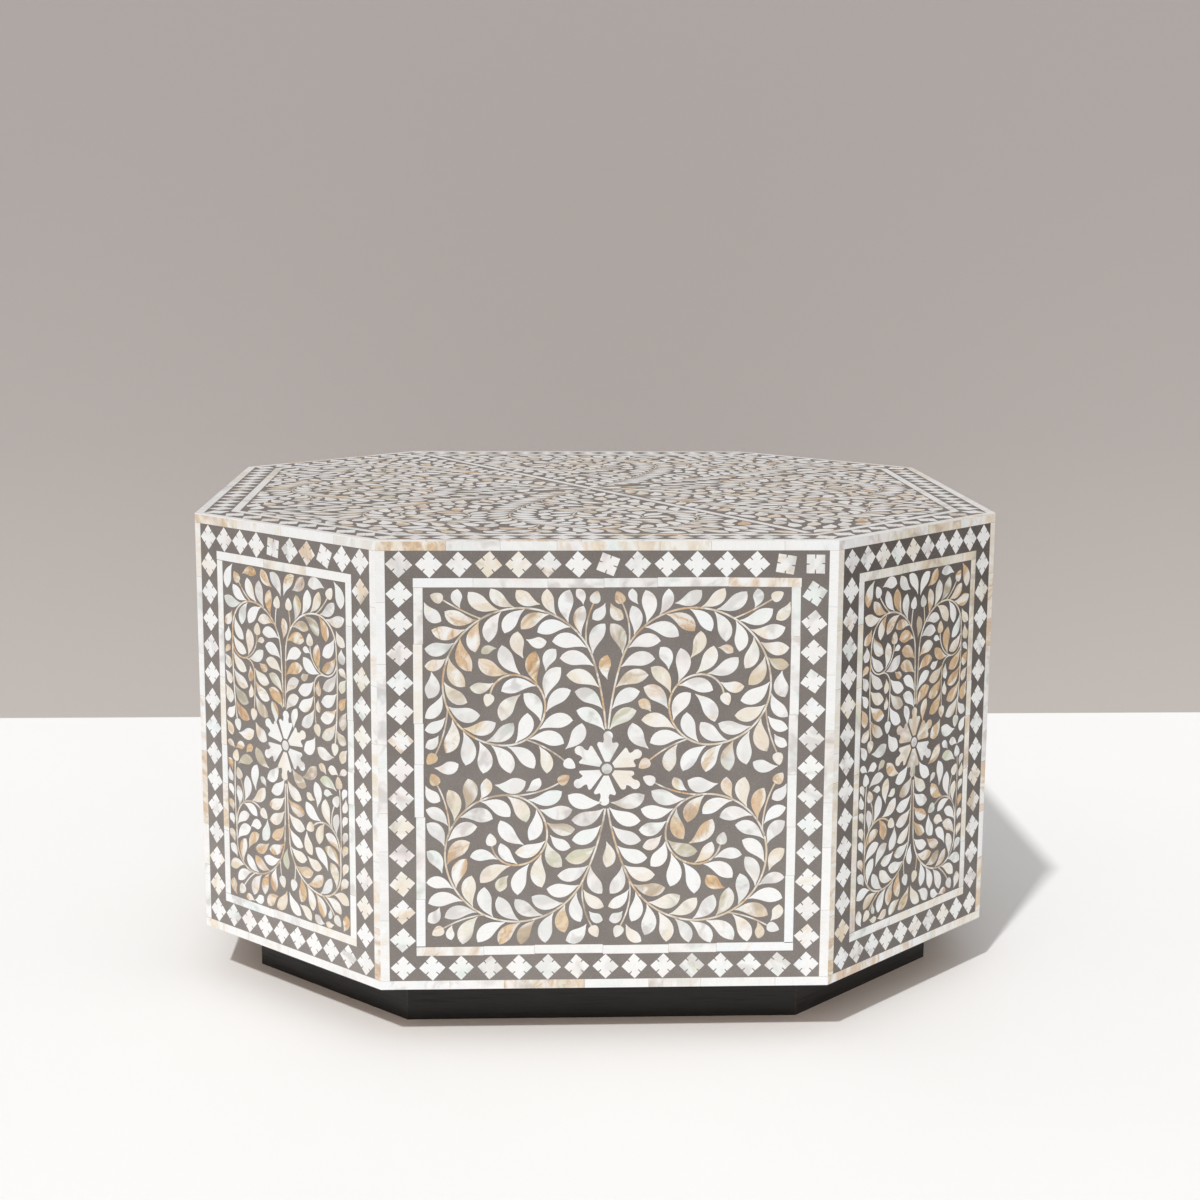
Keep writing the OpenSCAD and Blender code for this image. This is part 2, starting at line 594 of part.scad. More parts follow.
top_board();
top_ground();
top_border();
top_scroll();
top_leaves();
board(0);  // board_front
board(1);  // board_front_right
board(2);  // board_right
board(3);  // board_back_right
board(4);  // board_back
board(5);  // board_back_left
board(6);  // board_left
board(7);  // board_front_left
ground(0);  // ground_front
ground(1);  // ground_front_right
ground(2);  // ground_right
ground(3);  // ground_back_right
ground(4);  // ground_back
ground(5);  // ground_back_left
ground(6);  // ground_left
ground(7);  // ground_front_left
border(0);  // border_front
border(1);  // border_front_right
border(2);  // border_right
border(3);  // border_back_right
border(4);  // border_back
border(5);  // border_back_left
border(6);  // border_left
border(7);  // border_front_left
scroll(0);  // scroll_front
scroll(1);  // scroll_front_right
scroll(2);  // scroll_right
scroll(3);  // scroll_back_right
scroll(4);  // scroll_back
scroll(5);  // scroll_back_left
scroll(6);  // scroll_left
scroll(7);  // scroll_front_left
leaves(0);  // leaves_front
leaves(1);  // leaves_front_right
leaves(2);  // leaves_right
leaves(3);  // leaves_back_right
leaves(4);  // leaves_back
leaves(5);  // leaves_back_left
leaves(6);  // leaves_left
leaves(7);  // leaves_front_left
plinth(0);  // plinth_front
plinth(1);  // plinth_front_right
plinth(2);  // plinth_right
plinth(3);  // plinth_back_right
plinth(4);  // plinth_back
plinth(5);  // plinth_back_left
plinth(6);  // plinth_left
plinth(7);  // plinth_front_left
bottom_board();
corner_posts();
top_cleats();
plinth_blocks();
top_screws();
bottom_screws();
plinth_screws();
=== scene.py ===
"""An octagonal coffee table, faced with mother-of-pearl set in dark resin, on a recessed wooden plinth.

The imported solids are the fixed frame. Boards, posts, cleats, plinth and screws keep their shape and get their
wood or steel here. The pearl and the resin round it are laid again in finer pieces, node by node.
"""
import math

import bpy
import numpy as np
from mathutils import Matrix, Vector


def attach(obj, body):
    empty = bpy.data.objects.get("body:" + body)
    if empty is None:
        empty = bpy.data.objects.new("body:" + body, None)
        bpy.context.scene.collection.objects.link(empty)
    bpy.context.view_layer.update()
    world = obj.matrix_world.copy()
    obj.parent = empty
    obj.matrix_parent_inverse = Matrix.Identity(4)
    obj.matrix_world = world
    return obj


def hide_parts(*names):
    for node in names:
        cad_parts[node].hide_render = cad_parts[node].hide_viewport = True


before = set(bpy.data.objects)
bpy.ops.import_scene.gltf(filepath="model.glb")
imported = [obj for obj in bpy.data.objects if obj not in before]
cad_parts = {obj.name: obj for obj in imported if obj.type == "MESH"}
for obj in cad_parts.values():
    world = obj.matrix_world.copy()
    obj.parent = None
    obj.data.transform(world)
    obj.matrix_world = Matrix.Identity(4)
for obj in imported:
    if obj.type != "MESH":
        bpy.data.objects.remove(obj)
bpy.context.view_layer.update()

# Sizes in millimetres, as the solids have them
MM = 0.001
ACROSS = 760.0
LARGE_W = 400.0
TABLE_H = 452.0
PLINTH_H = 48.0
PEARL_T = 0.8
SKIN_T = 2.5
STRIP_W = 8.0
BAND_W = 24.0
SLIP_L = 58.0
DIAMOND_D = 22.6
DIAMOND_PITCH = 25.2
STEM_W = 2.0
DISC_D = 9.5
PETALS = 6
PETAL_R = 32.0
PETAL_W = 19.0
SHOULDER_IN = 8.3
BALL_R = 4.35
BALL_IN = 3
FACES = ("front", "front_right", "right", "back_right", "back", "back_left", "left", "front_left")

MITRE = math.tan(math.pi / 8)
NARROW_W = (ACROSS - LARGE_W) / math.sqrt(2)
NARROW_AWAY = (ACROSS + LARGE_W) / 2 / math.sqrt(2)
BORDER_W = 2 * STRIP_W + BAND_W
DIAMOND_INSET = STRIP_W + BAND_W / 2
PEARL_TOP = TABLE_H - PEARL_T
GROUND_TOP = TABLE_H - SKIN_T
FACE_MID = (PLINTH_H + PEARL_TOP) / 2
FACE_HALF_H = (PEARL_TOP - PLINTH_H) / 2
FIELD_H = 2 * (FACE_HALF_H - BORDER_W)

# Finer than the solids: the joint between two slips, how far the resin stands below the polished pearl, and
# the worn edge of each kind of piece
SLIP_JOINT = 0.16
RESIN_LOW = 0.08
SHELL_EDGE = 0.14
SLIP_EDGE = 0.08
STEM_EDGE = 0.12

# A branch lies this much lower than the stem that it leaves
STEM_LAP = 0.02


def face_w(i):
    return NARROW_W if i % 2 else LARGE_W


def face_away(i):
    return NARROW_AWAY if i % 2 else ACROSS / 2


def field_w(i):
    return face_w(i) - 2 * BORDER_W


def half_at(i, depth):
    return face_w(i) / 2 - depth * MITRE


def turned(p, angle):
    c, s = math.cos(math.radians(angle)), math.sin(math.radians(angle))
    return np.stack([p[..., 0] * c - p[..., 1] * s, p[..., 0] * s + p[..., 1] * c], -1)


def on_face(i):
    """Places points of side face i, given as x, y and height over its surface."""
    def place(p):
        flat = turned(np.stack([p[:, 0], -face_away(i) - p[:, 2]], -1), 45 * i)
        return np.column_stack([flat, FACE_MID + p[:, 1]]) * MM
    return place


def on_top(i):
    """Places points of the top, drawn with edge i in front."""
    def place(p):
        return np.column_stack([turned(p[:, :2], 45 * i), TABLE_H + p[:, 2]]) * MM
    return place


# Flat pieces of shell

def inset(outline, width):
    """An outline drawn in by a width, with the step at a sharp corner held back."""
    ahead = np.roll(outline, -1, 0) - outline
    ahead /= np.maximum(np.linalg.norm(ahead, axis=1, keepdims=True), 1e-9)
    inward = np.stack([-ahead[:, 1], ahead[:, 0]], -1)
    both = inward + np.roll(inward, 1, 0)
    size = np.maximum((both ** 2).sum(1, keepdims=True) / 2, 0.35)
    return outline + both / size * width


def area(outline):
    x, y = outline[:, 0], outline[:, 1]
    return (x * np.roll(y, -1) - y * np.roll(x, -1)).sum() / 2


class Inlay:
    """Pieces of one node. Each has its own tone and its own direction of grain."""

    def __init__(self, seed):
        self.rng = np.random.default_rng(seed)
        self.points, self.faces, self.grain, self.tone, self.count = [], [], [], [], 0

    def cut(self, place, outline, shade, grain=0.0, top=0.0, foot=None, edge=SHELL_EDGE, skin=None):
        """Lays a flat piece. foot is its outline at the back, where that differs, and skin says how near
        the shell's amber skin the piece was cut."""
        foot = outline if foot is None else foot
        if area(outline) < 0:
            outline, foot = outline[::-1], foot[::-1]
        n = len(outline)
        crown = inset(outline, edge)
        flat = np.concatenate([foot, outline, crown])
        height = np.repeat([top - PEARL_T, top - edge, top], n)
        self.points.append(place(np.column_stack([flat, height])))
        k = self.count
        ring = np.arange(n)
        after = np.roll(ring, -1)
        self.faces.append(tuple((k + ring[::-1]).tolist()))
        for low in (0, n):
            quads = np.stack([ring + low, after + low, after + low + n, ring + low + n], 1) + k
            self.faces.extend(map(tuple, quads.tolist()))
        self.faces.append(tuple((k + 2 * n + ring).tolist()))
        self.count += 3 * n
        draws = self.rng.random(4)
        middle = outline.mean(0)
        along = turned(flat - middle, -grain) * MM + draws[:2] * 7.0
        self.grain.append(along)
        skin = draws[3] if skin is None else skin
        self.tone.append(np.tile([shade, skin, 0.5 + 0.5 * math.sin(40 * draws[0]), 1.0], (3 * n, 1)))

    def finish(self, name, material, slot, node):
        piece = new_piece(name, np.concatenate(self.points).tolist(), self.faces, material)
        mesh = piece.data
        corners = np.empty(len(mesh.loops), dtype=np.int32)
        mesh.loops.foreach_get("vertex_index", corners)
        grain = mesh.uv_layers.new(name="grain")
        grain.data.foreach_set("uv", np.concatenate(self.grain)[corners].astype(np.float32).ravel())
        tone = mesh.attributes.new("tone", "FLOAT_COLOR", "POINT")
        tone.data.foreach_set("color", np.concatenate(self.tone).astype(np.float32).ravel())
        carry(piece, node)


def new_piece(name, points, faces, material):
    """Adds an object of one material to the scene."""
    mesh = bpy.data.meshes.new(name)
    mesh.from_pydata(points, [], faces)
    mesh.materials.append(material)
    piece = bpy.data.objects.new(name, mesh)
    bpy.context.scene.collection.objects.link(piece)
    return piece


def carry(piece, node):
    """Lets a piece ride on the table in the place of a node."""
    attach(piece, "root")
    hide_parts(node)


# Node materials

def srgb(red, green, blue):
    """A colour given in the usual 0 to 255 steps."""
    steps = [v / 255 for v in (red, green, blue)]
    return tuple(v / 12.92 if v <= 0.04045 else ((v + 0.055) / 1.055) ** 2.4 for v in steps) + (1.0,)


class Wiring:
    """Adds nodes to a tree, with values and links given by socket name."""

    def __init__(self, tree):
        self.tree = tree

    def node(self, kind, settings=None, **inputs):
        node = self.tree.nodes.new(kind)
        for key, value in (settings or {}).items():
            setattr(node, key, value)
        for key, value in inputs.items():
            self.feed(node, key.replace("_", " "), value)
        return node

    def numbered(self, kind, settings, *inputs):
        """A node whose inputs are given as pairs of a number and a value."""
        node = self.node(kind, settings)
        for k, value in inputs:
            self.feed(node, k, value)
        return node

    def feed(self, node, key, value):
        """Links or sets an input, which is told by its name or number."""
        socket = node.inputs[key]
        if isinstance(value, bpy.types.NodeSocket):
            self.tree.links.new(value, socket)
        else:
            socket.default_value = value

    def math(self, operation, *values, clamp=False):
        settings = {"operation": operation, "use_clamp": clamp}
        return self.numbered("ShaderNodeMath", settings, *enumerate(values)).outputs[0]

    def vector(self, operation, *values):
        node = self.numbered("ShaderNodeVectorMath", {"operation": operation}, *enumerate(values))
        return node.outputs["Value" if operation == "DOT_PRODUCT" else "Vector"]

    def mix(self, factor, a, b, blend="MIX"):
        settings = {"data_type": "RGBA", "blend_type": blend}
        return self.numbered("ShaderNodeMix", settings, (0, factor), (6, a), (7, b)).outputs[2]

    def stained(self, colour, stain):
        """One colour multiplied by another."""
        return self.mix(1.0, colour, stain, "MULTIPLY")

    def mix_vectors(self, factor, a, b):
        settings = {"data_type": "VECTOR"}
        return self.numbered("ShaderNodeMix", settings, (0, factor), (4, a), (5, b)).outputs[1]

    def mix_shaders(self, factor, a, b):
        return self.numbered("ShaderNodeMixShader", {}, (0, factor), (1, a), (2, b)).outputs[0]

    def span(self, value, low, high, to_low=0.0, to_high=1.0):
        """Runs softly from to_low to to_high as the value goes from low to high."""
        node = self.node("ShaderNodeMapRange", {"interpolation_type": "SMOOTHSTEP"}, Value=value,
                         From_Min=low, From_Max=high, To_Min=to_low, To_Max=to_high)
        return node.outputs["Result"]

    def noise(self, vector, scale, detail=2.0, rough=0.5, distortion=0.0):
        node = self.node("ShaderNodeTexNoise", Vector=vector, Scale=scale, Detail=detail, Roughness=rough,
                         Distortion=distortion)
        return node.outputs["Fac"]

    def ramp(self, factor, stops):
        node = self.node("ShaderNodeValToRGB", Fac=factor)
        stops_there = node.color_ramp.elements
        for k, (place, colour) in enumerate(stops):
            stop = stops_there[k] if k < 2 else stops_there.new(place)
            stop.position, stop.color = place, colour
        return node.outputs["Color"]

    def stretched(self, vector, scale):
        return self.vector("MULTIPLY", vector, scale)

    def parts(self, vector):
        return self.node("ShaderNodeSeparateXYZ", Vector=vector).outputs

    def surface(self):
        return self.node("ShaderNodeNewGeometry").outputs

    def place(self):
        """Where a point lies in its object."""
        return self.node("ShaderNodeTexCoord").outputs["Object"]


SOCKETS = {"number": "NodeSocketFloat", "colour": "NodeSocketColor", "vector": "NodeSocketVector"}


def effect(name, takes, gives):
    """A shader node group with named inputs and outputs, as group, wiring, inputs and output node."""
    group = bpy.data.node_groups.new(name, "ShaderNodeTree")
    for key, (kind, value) in takes.items():
        socket = group.interface.new_socket(key, in_out="INPUT", socket_type=SOCKETS[kind])
        if value is not None:
            socket.default_value = value
    for key, kind in gives.items():
        group.interface.new_socket(key, in_out="OUTPUT", socket_type=SOCKETS[kind])
    wiring = Wiring(group)
    return group, wiring, wiring.node("NodeGroupInput").outputs, wiring.node("NodeGroupOutput")


def shell_figure():
    """Mother-of-pearl: each piece's tone, its growth bands, warm streaks from the shell's skin and a faint
    play of green and rose."""
    group, w, given, out = effect(
        "Shell figure",
        {"Tone": ("vector", None), "Place": ("vector", None), "Bands": ("number", 1.0),
         "Streaks": ("number", 1.0)},
        {"Colour": "colour", "Roughness": "number", "Height": "number"})
    parts = w.parts(given["Tone"])
    place = given["Place"]
    shade = parts["X"]
    tone = w.ramp(shade, (
        (0.0, srgb(246, 248, 251)), (0.20, srgb(248, 248, 247)), (0.36, srgb(240, 240, 240)),
        (0.47, srgb(231, 230, 229)), (0.56, srgb(220, 218, 216)), (0.62, srgb(245, 240, 231)),
        (0.78, srgb(238, 229, 213)), (0.87, srgb(226, 211, 187)), (0.94, srgb(188, 171, 149)),
        (1.0, srgb(216, 220, 200))))
    # The tone is full in one part of a piece and pale in another
    depth = w.noise(w.stretched(place, (1.0, 2.0, 1.0)), 40.0, 2.0, 0.5, 0.5)
    base = w.mix(w.span(depth, 0.38, 0.58, 0.2, 1.0), srgb(248, 248, 247), tone)
    # Growth bands run along the grain, slightly bent
    bent = w.noise(place, 55.0, 3.0, 0.55, 0.8)
    drift = w.math("MULTIPLY_ADD", bent, 0.03, w.parts(place)["Y"])
    line = w.node("ShaderNodeCombineXYZ", X=drift, Y=0.0, Z=0.0).outputs[0]
    bands = w.noise(line, 260.0, 3.0, 0.6)
    coloured = w.span(shade, 0.5, 0.9, 0.25, 1.0)
    band_mask = w.math("MULTIPLY", w.math("MULTIPLY", w.span(bands, 0.42, 0.62), coloured), given["Bands"])
    banded = w.mix(w.math("MULTIPLY", band_mask, 0.5), base, w.stained(base, srgb(237, 224, 203)))
    # Near the shell's skin a piece turns peach, then amber, over more and more of its face
    skin = parts["Y"]
    spots = w.noise(w.stretched(place, (1.0, 2.6, 1.0)), 26.0, 2.5, 0.5, 0.6)
    patch = w.math("MULTIPLY_ADD", bands, 0.24, spots)
    edge = w.span(skin, 0.0, 1.0, 0.88, 0.46)
    reached = w.math("MULTIPLY", w.math("SUBTRACT", patch, edge), 5.0, clamp=True)
    peach = w.mix(w.span(bands, 0.40, 0.62), srgb(242, 229, 206), srgb(230, 207, 171))
    amber = w.mix(w.span(bands, 0.38, 0.60), srgb(227, 190, 133), srgb(193, 148, 100))
    ripe = w.math("MULTIPLY", w.span(skin, 0.64, 0.88), w.span(patch, 0.54, 0.68))
    skin_mask = w.math("MULTIPLY", w.math("MULTIPLY", reached, given["Streaks"]), 0.9)
    warm = w.mix(skin_mask, banded, w.mix(ripe, peach, amber))
    # A faint play of green and rose, and a soft grey at some edges
    play = w.noise(place, 30.0, 1.5, 0.5, 0.4)
    tint = w.ramp(play, ((0.28, srgb(240, 248, 243)), (0.46, srgb(255, 255, 255)),
                         (0.58, srgb(255, 253, 251)), (0.76, srgb(251, 242, 242))))
    tinted = w.mix(w.span(parts["Z"], 0.0, 1.0, 0.3, 1.0), warm, w.stained(warm, tint))
    shadowy = w.span(w.noise(place, 52.0, 2.0, 0.5, 0.6), 0.48, 0.68)
    shadow_mask = w.math("MULTIPLY", shadowy, w.span(parts["Z"], 0.2, 1.0, 0.0, 0.85))
    soft = w.mix(shadow_mask, tinted, w.stained(tinted, srgb(217, 212, 210)))
    # Fine hairlines along the grain
    fine = w.noise(w.stretched(place, (0.22, 2.2, 1.0)), 800.0, 2.0, 0.6)
    colour = w.mix(w.span(fine, 0.42, 0.72, 0.0, 0.18), soft, srgb(206, 200, 192))
    w.feed(out, "Colour", colour)
    w.feed(out, "Roughness", w.span(bands, 0.3, 0.7, 0.24, 0.36))
    w.feed(out, "Height", w.math("ADD", w.math("MULTIPLY", bands, 0.6), w.math("MULTIPLY", fine, 0.4)))
    return group


def fine_specks():
    """Specks of shell dust and pores, such as filled resin has."""
    group, w, given, out = effect(
        "Fine specks",
        {"Place": ("vector", None), "Size": ("number", 0.8), "Amount": ("number", 0.3)},
        {"Pale": "number", "Dark": "number", "Height": "number"})
    cells = w.node("ShaderNodeTexVoronoi", {"feature": "F1"}, Vector=given["Place"],
                   Scale=w.math("DIVIDE", 1000.0, given["Size"]))
    pick = w.parts(cells.outputs["Color"])
    spot = w.span(cells.outputs["Distance"], 0.34, 0.16)
    pale = w.math("MULTIPLY", spot, w.math("LESS_THAN", pick["X"], given["Amount"]))
    dark = w.math("MULTIPLY", spot, w.math("LESS_THAN", pick["Y"], given["Amount"]))
    grit = w.noise(given["Place"], 1500.0, 2.0, 0.7)
    w.feed(out, "Pale", pale)
    w.feed(out, "Dark", dark)
    w.feed(out, "Height", w.math("SUBTRACT", grit, w.math("MULTIPLY", dark, 0.6)))
    return group


def board_grain():
    """Wood grain that runs along each board: level on upright faces, along X on level ones."""
    group, w, given, out = effect(
        "Board grain",
        {"Light": ("colour", (0.5, 0.4, 0.3, 1)), "Dark": ("colour", (0.2, 0.1, 0.05, 1)),
         "Figure": ("number", 1.0)},
        {"Colour": "colour", "Roughness": "number", "Height": "number"})
    surface = w.surface()
    at, normal = surface["Position"], surface["Normal"]
    across = w.vector("CROSS_PRODUCT", (0.0, 0.0, 1.0), normal)
    sideways, deep_in = w.vector("DOT_PRODUCT", at, across), w.vector("DOT_PRODUCT", at, normal)
    upright = w.node("ShaderNodeCombineXYZ", X=sideways, Y=w.parts(at)["Z"], Z=deep_in).outputs[0]
    level = w.math("GREATER_THAN", w.math("ABSOLUTE", w.parts(normal)["Z"]), 0.5)
    place = w.mix_vectors(level, upright, at)
    rings = w.noise(w.stretched(place, (2.2, 34.0, 6.0)), 3.2, 3.0, 0.55, 0.9)
    pores = w.noise(w.stretched(place, (22.0, 900.0, 60.0)), 1.0, 3.0, 0.7)
    figure = w.math("MULTIPLY", w.span(rings, 0.34, 0.66), given["Figure"], clamp=True)
    deep = w.math("MULTIPLY", w.span(pores, 0.56, 0.72), 0.55)
    wood = w.mix(figure, given["Light"], given["Dark"])
    w.feed(out, "Colour", w.mix(deep, wood, w.stained(wood, srgb(120, 104, 92))))
    w.feed(out, "Roughness", w.span(pores, 0.4, 0.8, 0.42, 0.66))
    w.feed(out, "Height", w.math("SUBTRACT", w.math("MULTIPLY", rings, 0.3), deep))
    return group


def edge_wear():
    """Worn places along outer edges, broken up so that they don't run as an even line."""
    group, w, given, out = effect(
        "Edge wear",
        {"Place": ("vector", None), "Width": ("number", 0.003), "Amount": ("number", 1.0)},
        {"Mask": "number"})
    soft = w.node("ShaderNodeBevel", {"samples": 8}, Radius=given["Width"]).outputs["Normal"]
    turn = w.math("SUBTRACT", 1.0, w.vector("DOT_PRODUCT", soft, w.surface()["Normal"]))
    broken = w.noise(given["Place"], 90.0, 4.0, 0.65)
    rub = w.math("MULTIPLY", w.span(turn, 0.01, 0.16), w.span(broken, 0.42, 0.62))
    w.feed(out, "Mask", w.math("MULTIPLY", rub, given["Amount"], clamp=True))
    return group


SHELL_FIGURE = shell_figure()
FINE_SPECKS = fine_specks()
BOARD_GRAIN = board_grain()
EDGE_WEAR = edge_wear()


def new_material(name):
    """A material with its Principled shader, as (material, wiring, shader)."""
    material = bpy.data.materials.new(name)
    material.use_nodes = True
    material.node_tree.nodes.clear()
    w = Wiring(material.node_tree)
    shader = w.node("ShaderNodeBsdfPrincipled")
    w.node("ShaderNodeOutputMaterial", Surface=shader.outputs["BSDF"])
    return material, w, shader


def placed(w, group, **inputs):
    return w.node("ShaderNodeGroup", {"node_tree": group}, **inputs).outputs


def bump(w, shader, height, distance):
    bumped = w.node("ShaderNodeBump", Height=height, Distance=distance)
    w.feed(shader, "Normal", bumped.outputs[0])


def shell(name, bands, streaks):
    material, w, shader = new_material(name)
    tone = w.node("ShaderNodeAttribute", {"attribute_name": "tone"}).outputs["Vector"]
    place = w.node("ShaderNodeUVMap", {"uv_map": "grain"}).outputs["UV"]
    figure = placed(w, SHELL_FIGURE, Tone=tone, Place=place, Bands=bands, Streaks=streaks)
    w.feed(shader, "Base Color", figure["Colour"])
    w.feed(shader, "Roughness", figure["Roughness"])
    w.feed(shader, "Specular IOR Level", 0.55)
    w.feed(shader, "Coat Weight", 0.25)
    w.feed(shader, "Coat Roughness", 0.18)
    bump(w, shader, figure["Height"], 0.00004)
    return material


def resin():
    material, w, shader = new_material("dark_resin")
    place = w.place()
    specks = placed(w, FINE_SPECKS, Place=place, Size=0.9, Amount=0.13)
    cloud = w.noise(place, 22.0, 4.0, 0.6)
    grain = w.noise(place, 700.0, 3.0, 0.7)
    # Painted shade: the resin is mixed between a pale and a deep copy of its colour, darker up each face and on
    # front_right
    painted_shade = w.node("ShaderNodeAttribute", {"attribute_name": "painted_shade"}).outputs["Fac"]
    pale = w.mix(w.span(cloud, 0.3, 0.7), srgb(147, 139, 134), srgb(157, 149, 144))
    deep = w.mix(w.span(cloud, 0.3, 0.7), srgb(82, 74, 69), srgb(93, 85, 80))
    ground = w.mix(painted_shade, pale, deep)
    grained = w.mix(w.span(grain, 0.35, 0.7, 0.0, 0.5), ground, w.stained(ground, srgb(222, 218, 216)))
    dusted = w.mix(w.math("MULTIPLY", specks["Pale"], 0.55), grained, srgb(196, 188, 174))
    w.feed(shader, "Base Color", w.mix(w.math("MULTIPLY", specks["Dark"], 0.5), dusted, srgb(58, 53, 49)))
    w.feed(shader, "Roughness", w.span(grain, 0.3, 0.7, 0.42, 0.60))
    bump(w, shader, specks["Height"], 0.00005)
    return material


def wood(name, light, dark, figure, worn):
    material, w, shader = new_material(name)
    grain = placed(w, BOARD_GRAIN, Light=light, Dark=dark, Figure=figure)
    mask = placed(w, EDGE_WEAR, Place=w.place(), Width=0.0022, Amount=0.5)["Mask"]
    w.feed(shader, "Base Color", w.mix(mask, grain["Colour"], worn))
    w.feed(shader, "Roughness", grain["Roughness"])
    bump(w, shader, grain["Height"], 0.00012)
    return material


def steel():
    material, w, shader = new_material("screw_steel")
    rub = w.noise(w.place(), 900.0, 3.0, 0.6)
    w.feed(shader, "Base Color", w.mix(w.span(rub, 0.35, 0.7), srgb(150, 150, 148), srgb(186, 186, 182)))
    w.feed(shader, "Roughness", w.span(rub, 0.3, 0.7, 0.28, 0.45))
    w.feed(shader, "Metallic", 1.0)
    bump(w, shader, rub, 0.00004)
    return material


BORDER_SHELL = shell("border_shell", 0.7, 0.75)
SCROLL_SHELL = shell("scroll_shell", 0.8, 0.9)
LEAF_SHELL = shell("leaf_shell", 1.0, 1.0)
DARK_RESIN = resin()
CARCASS_WOOD = wood("carcass_wood", srgb(186, 150, 112), srgb(150, 112, 78), 0.8, srgb(200, 170, 134))
BATTEN_WOOD = wood("batten_wood", srgb(214, 184, 142), srgb(186, 148, 104), 0.7, srgb(222, 198, 162))
PLINTH_WOOD = wood("plinth_wood", srgb(20, 19, 19), srgb(13, 12, 12), 0.9, srgb(72, 57, 46))
SCREW_STEEL = steel()


def finish_kept_nodes():
    """Gives the nodes that keep their own mesh their wood or steel."""
    finishes = {"board": CARCASS_WOOD, "posts": BATTEN_WOOD, "cleats": BATTEN_WOOD, "blocks": BATTEN_WOOD,
                "plinth": PLINTH_WOOD, "screws": SCREW_STEEL}
    for name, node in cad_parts.items():
        words = name.split("_")
        word = words[-1] if words[-1] in finishes else words[0]
        if word in finishes:
            for slot in node.material_slots:
                slot.material = finishes[word]


# Strips and diamonds

def slip_cuts(length, rng):
    """Where a strip is cut into slips of uneven length."""
    n = max(1, round(length / SLIP_L))
    shift = rng.uniform(-0.3, 0.3, n + 1)
    shift[[0, -1]] = 0
    return (np.arange(n + 1) + shift) * length / n - length / 2


def slip_shade(rng, cream):
    """Slips are white, but for a share of cream ones."""
    return rng.uniform(0, 0.38) if rng.random() > cream else rng.uniform(0.58, 0.6 + 0.86 * min(cream, 0.3))


def slip_skin(rng, share):
    """A share of the slips shows peach or amber."""
    return rng.uniform(0, 0.42) if rng.random() > share else rng.uniform(0.5, 0.9)


def slip_run(inlay, place, half0, half1, y0, y1, spin=0.0, mirror=(1, 1), mitre=0.0, loose=0.0, shades=None,
             skins=0.14, cream=0.16):
    """A strip of slips along X whose ends slope from half0 at y0 to half1 at y1. mitre draws in the back of
    its two ends, and loose lets the slips stand a little off true."""
    rng = inlay.rng
    cuts = slip_cuts(half0 + half1, rng)
    last = len(cuts) - 2
    for k in range(last + 1):
        a, b = cuts[k] + SLIP_JOINT / 2, cuts[k + 1] - SLIP_JOINT / 2
        shape = np.array([
            [-half0 if k == 0 else a, y0], [half0 if k == last else b, y0],
            [half1 if k == last else b, y1], [-half1 if k == 0 else a, y1]])
        if loose:
            shift, tilt = rng.normal(0, loose), rng.normal(0, loose * 0.6)
            shape[:, 1] += shift + tilt * (shape[:, 0] - shape[:, 0].mean()) / SLIP_L
        foot = shape.copy()
        foot[:, 0] = np.clip(foot[:, 0], mitre - half0, half0 - mitre)
        shade = slip_shade(rng, cream) if shades is None or k not in shades else shades[k]
        inlay.cut(place, turned(shape, spin) * mirror, shade, spin + 90 + rng.normal(0, 12),
                  foot=turned(foot, spin) * mirror, edge=SLIP_EDGE, skin=slip_skin(rng, skins))


def corner_run(inlay, place, i, length, mirror, skins, cream):
    """The upright strip at a side face's corner, mitred against its neighbour."""
    half = face_w(i) / 2
    cuts = slip_cuts(length, inlay.rng)
    for a, b in zip(cuts[:-1] + SLIP_JOINT / 2, cuts[1:] - SLIP_JOINT / 2):
        shape = np.array([[half - STRIP_W, a], [half, a], [half, b], [half - STRIP_W, b]])
        foot = shape - [[0, 0], [PEARL_T * MITRE, 0], [PEARL_T * MITRE, 0], [0, 0]]
        inlay.cut(place, shape * mirror, slip_shade(inlay.rng, cream), inlay.rng.normal(0, 12),
                  foot=foot * mirror, edge=SLIP_EDGE, skin=slip_skin(inlay.rng, skins))


def diamond(inlay, place, centre, turn, tan=0.12):
    """A square on its corner, with a saw notch in the middle of each side. tan is the share not white."""
    rng = inlay.rng
    half = (DIAMOND_D + 0.6) / math.sqrt(8) * (1 + rng.normal(0, 0.012))
    outline = []
    for k in range(4):
        shift, deep = rng.normal(0, 0.5), rng.uniform(2.3, 3.4)
        side = [[-half, -half], [shift - 0.5, -half], [shift - 0.32, deep - half],
                [shift + 0.32, deep - half], [shift + 0.5, -half]]
        outline.append(turned(np.array(side), 90 * k))
    shape = np.concatenate(outline)
    spread = np.eye(2) + rng.normal(0, 0.012, (2, 2))
    shade = rng.uniform(0, 0.41) if rng.random() > tan else rng.uniform(0.5, 0.62 + tan)
    skin = rng.uniform(0, 0.5) if rng.random() > 0.1 + tan / 4 else rng.uniform(0.5, 0.95)
    inlay.cut(place, turned(shape @ spread, 45 + turn) + centre, shade, rng.uniform(0, 180), skin=skin)


# Diamonds that stand askew, by face: in the top row, and in the right-hand column
ROW_TURNS = {0: {7: 24, 13: 36, 14: 45}, 7: {4: 38, 7: 20}}
COLUMN_TURNS = {0: {14: 15, 13: 12, 12: -6, 10: 10}}


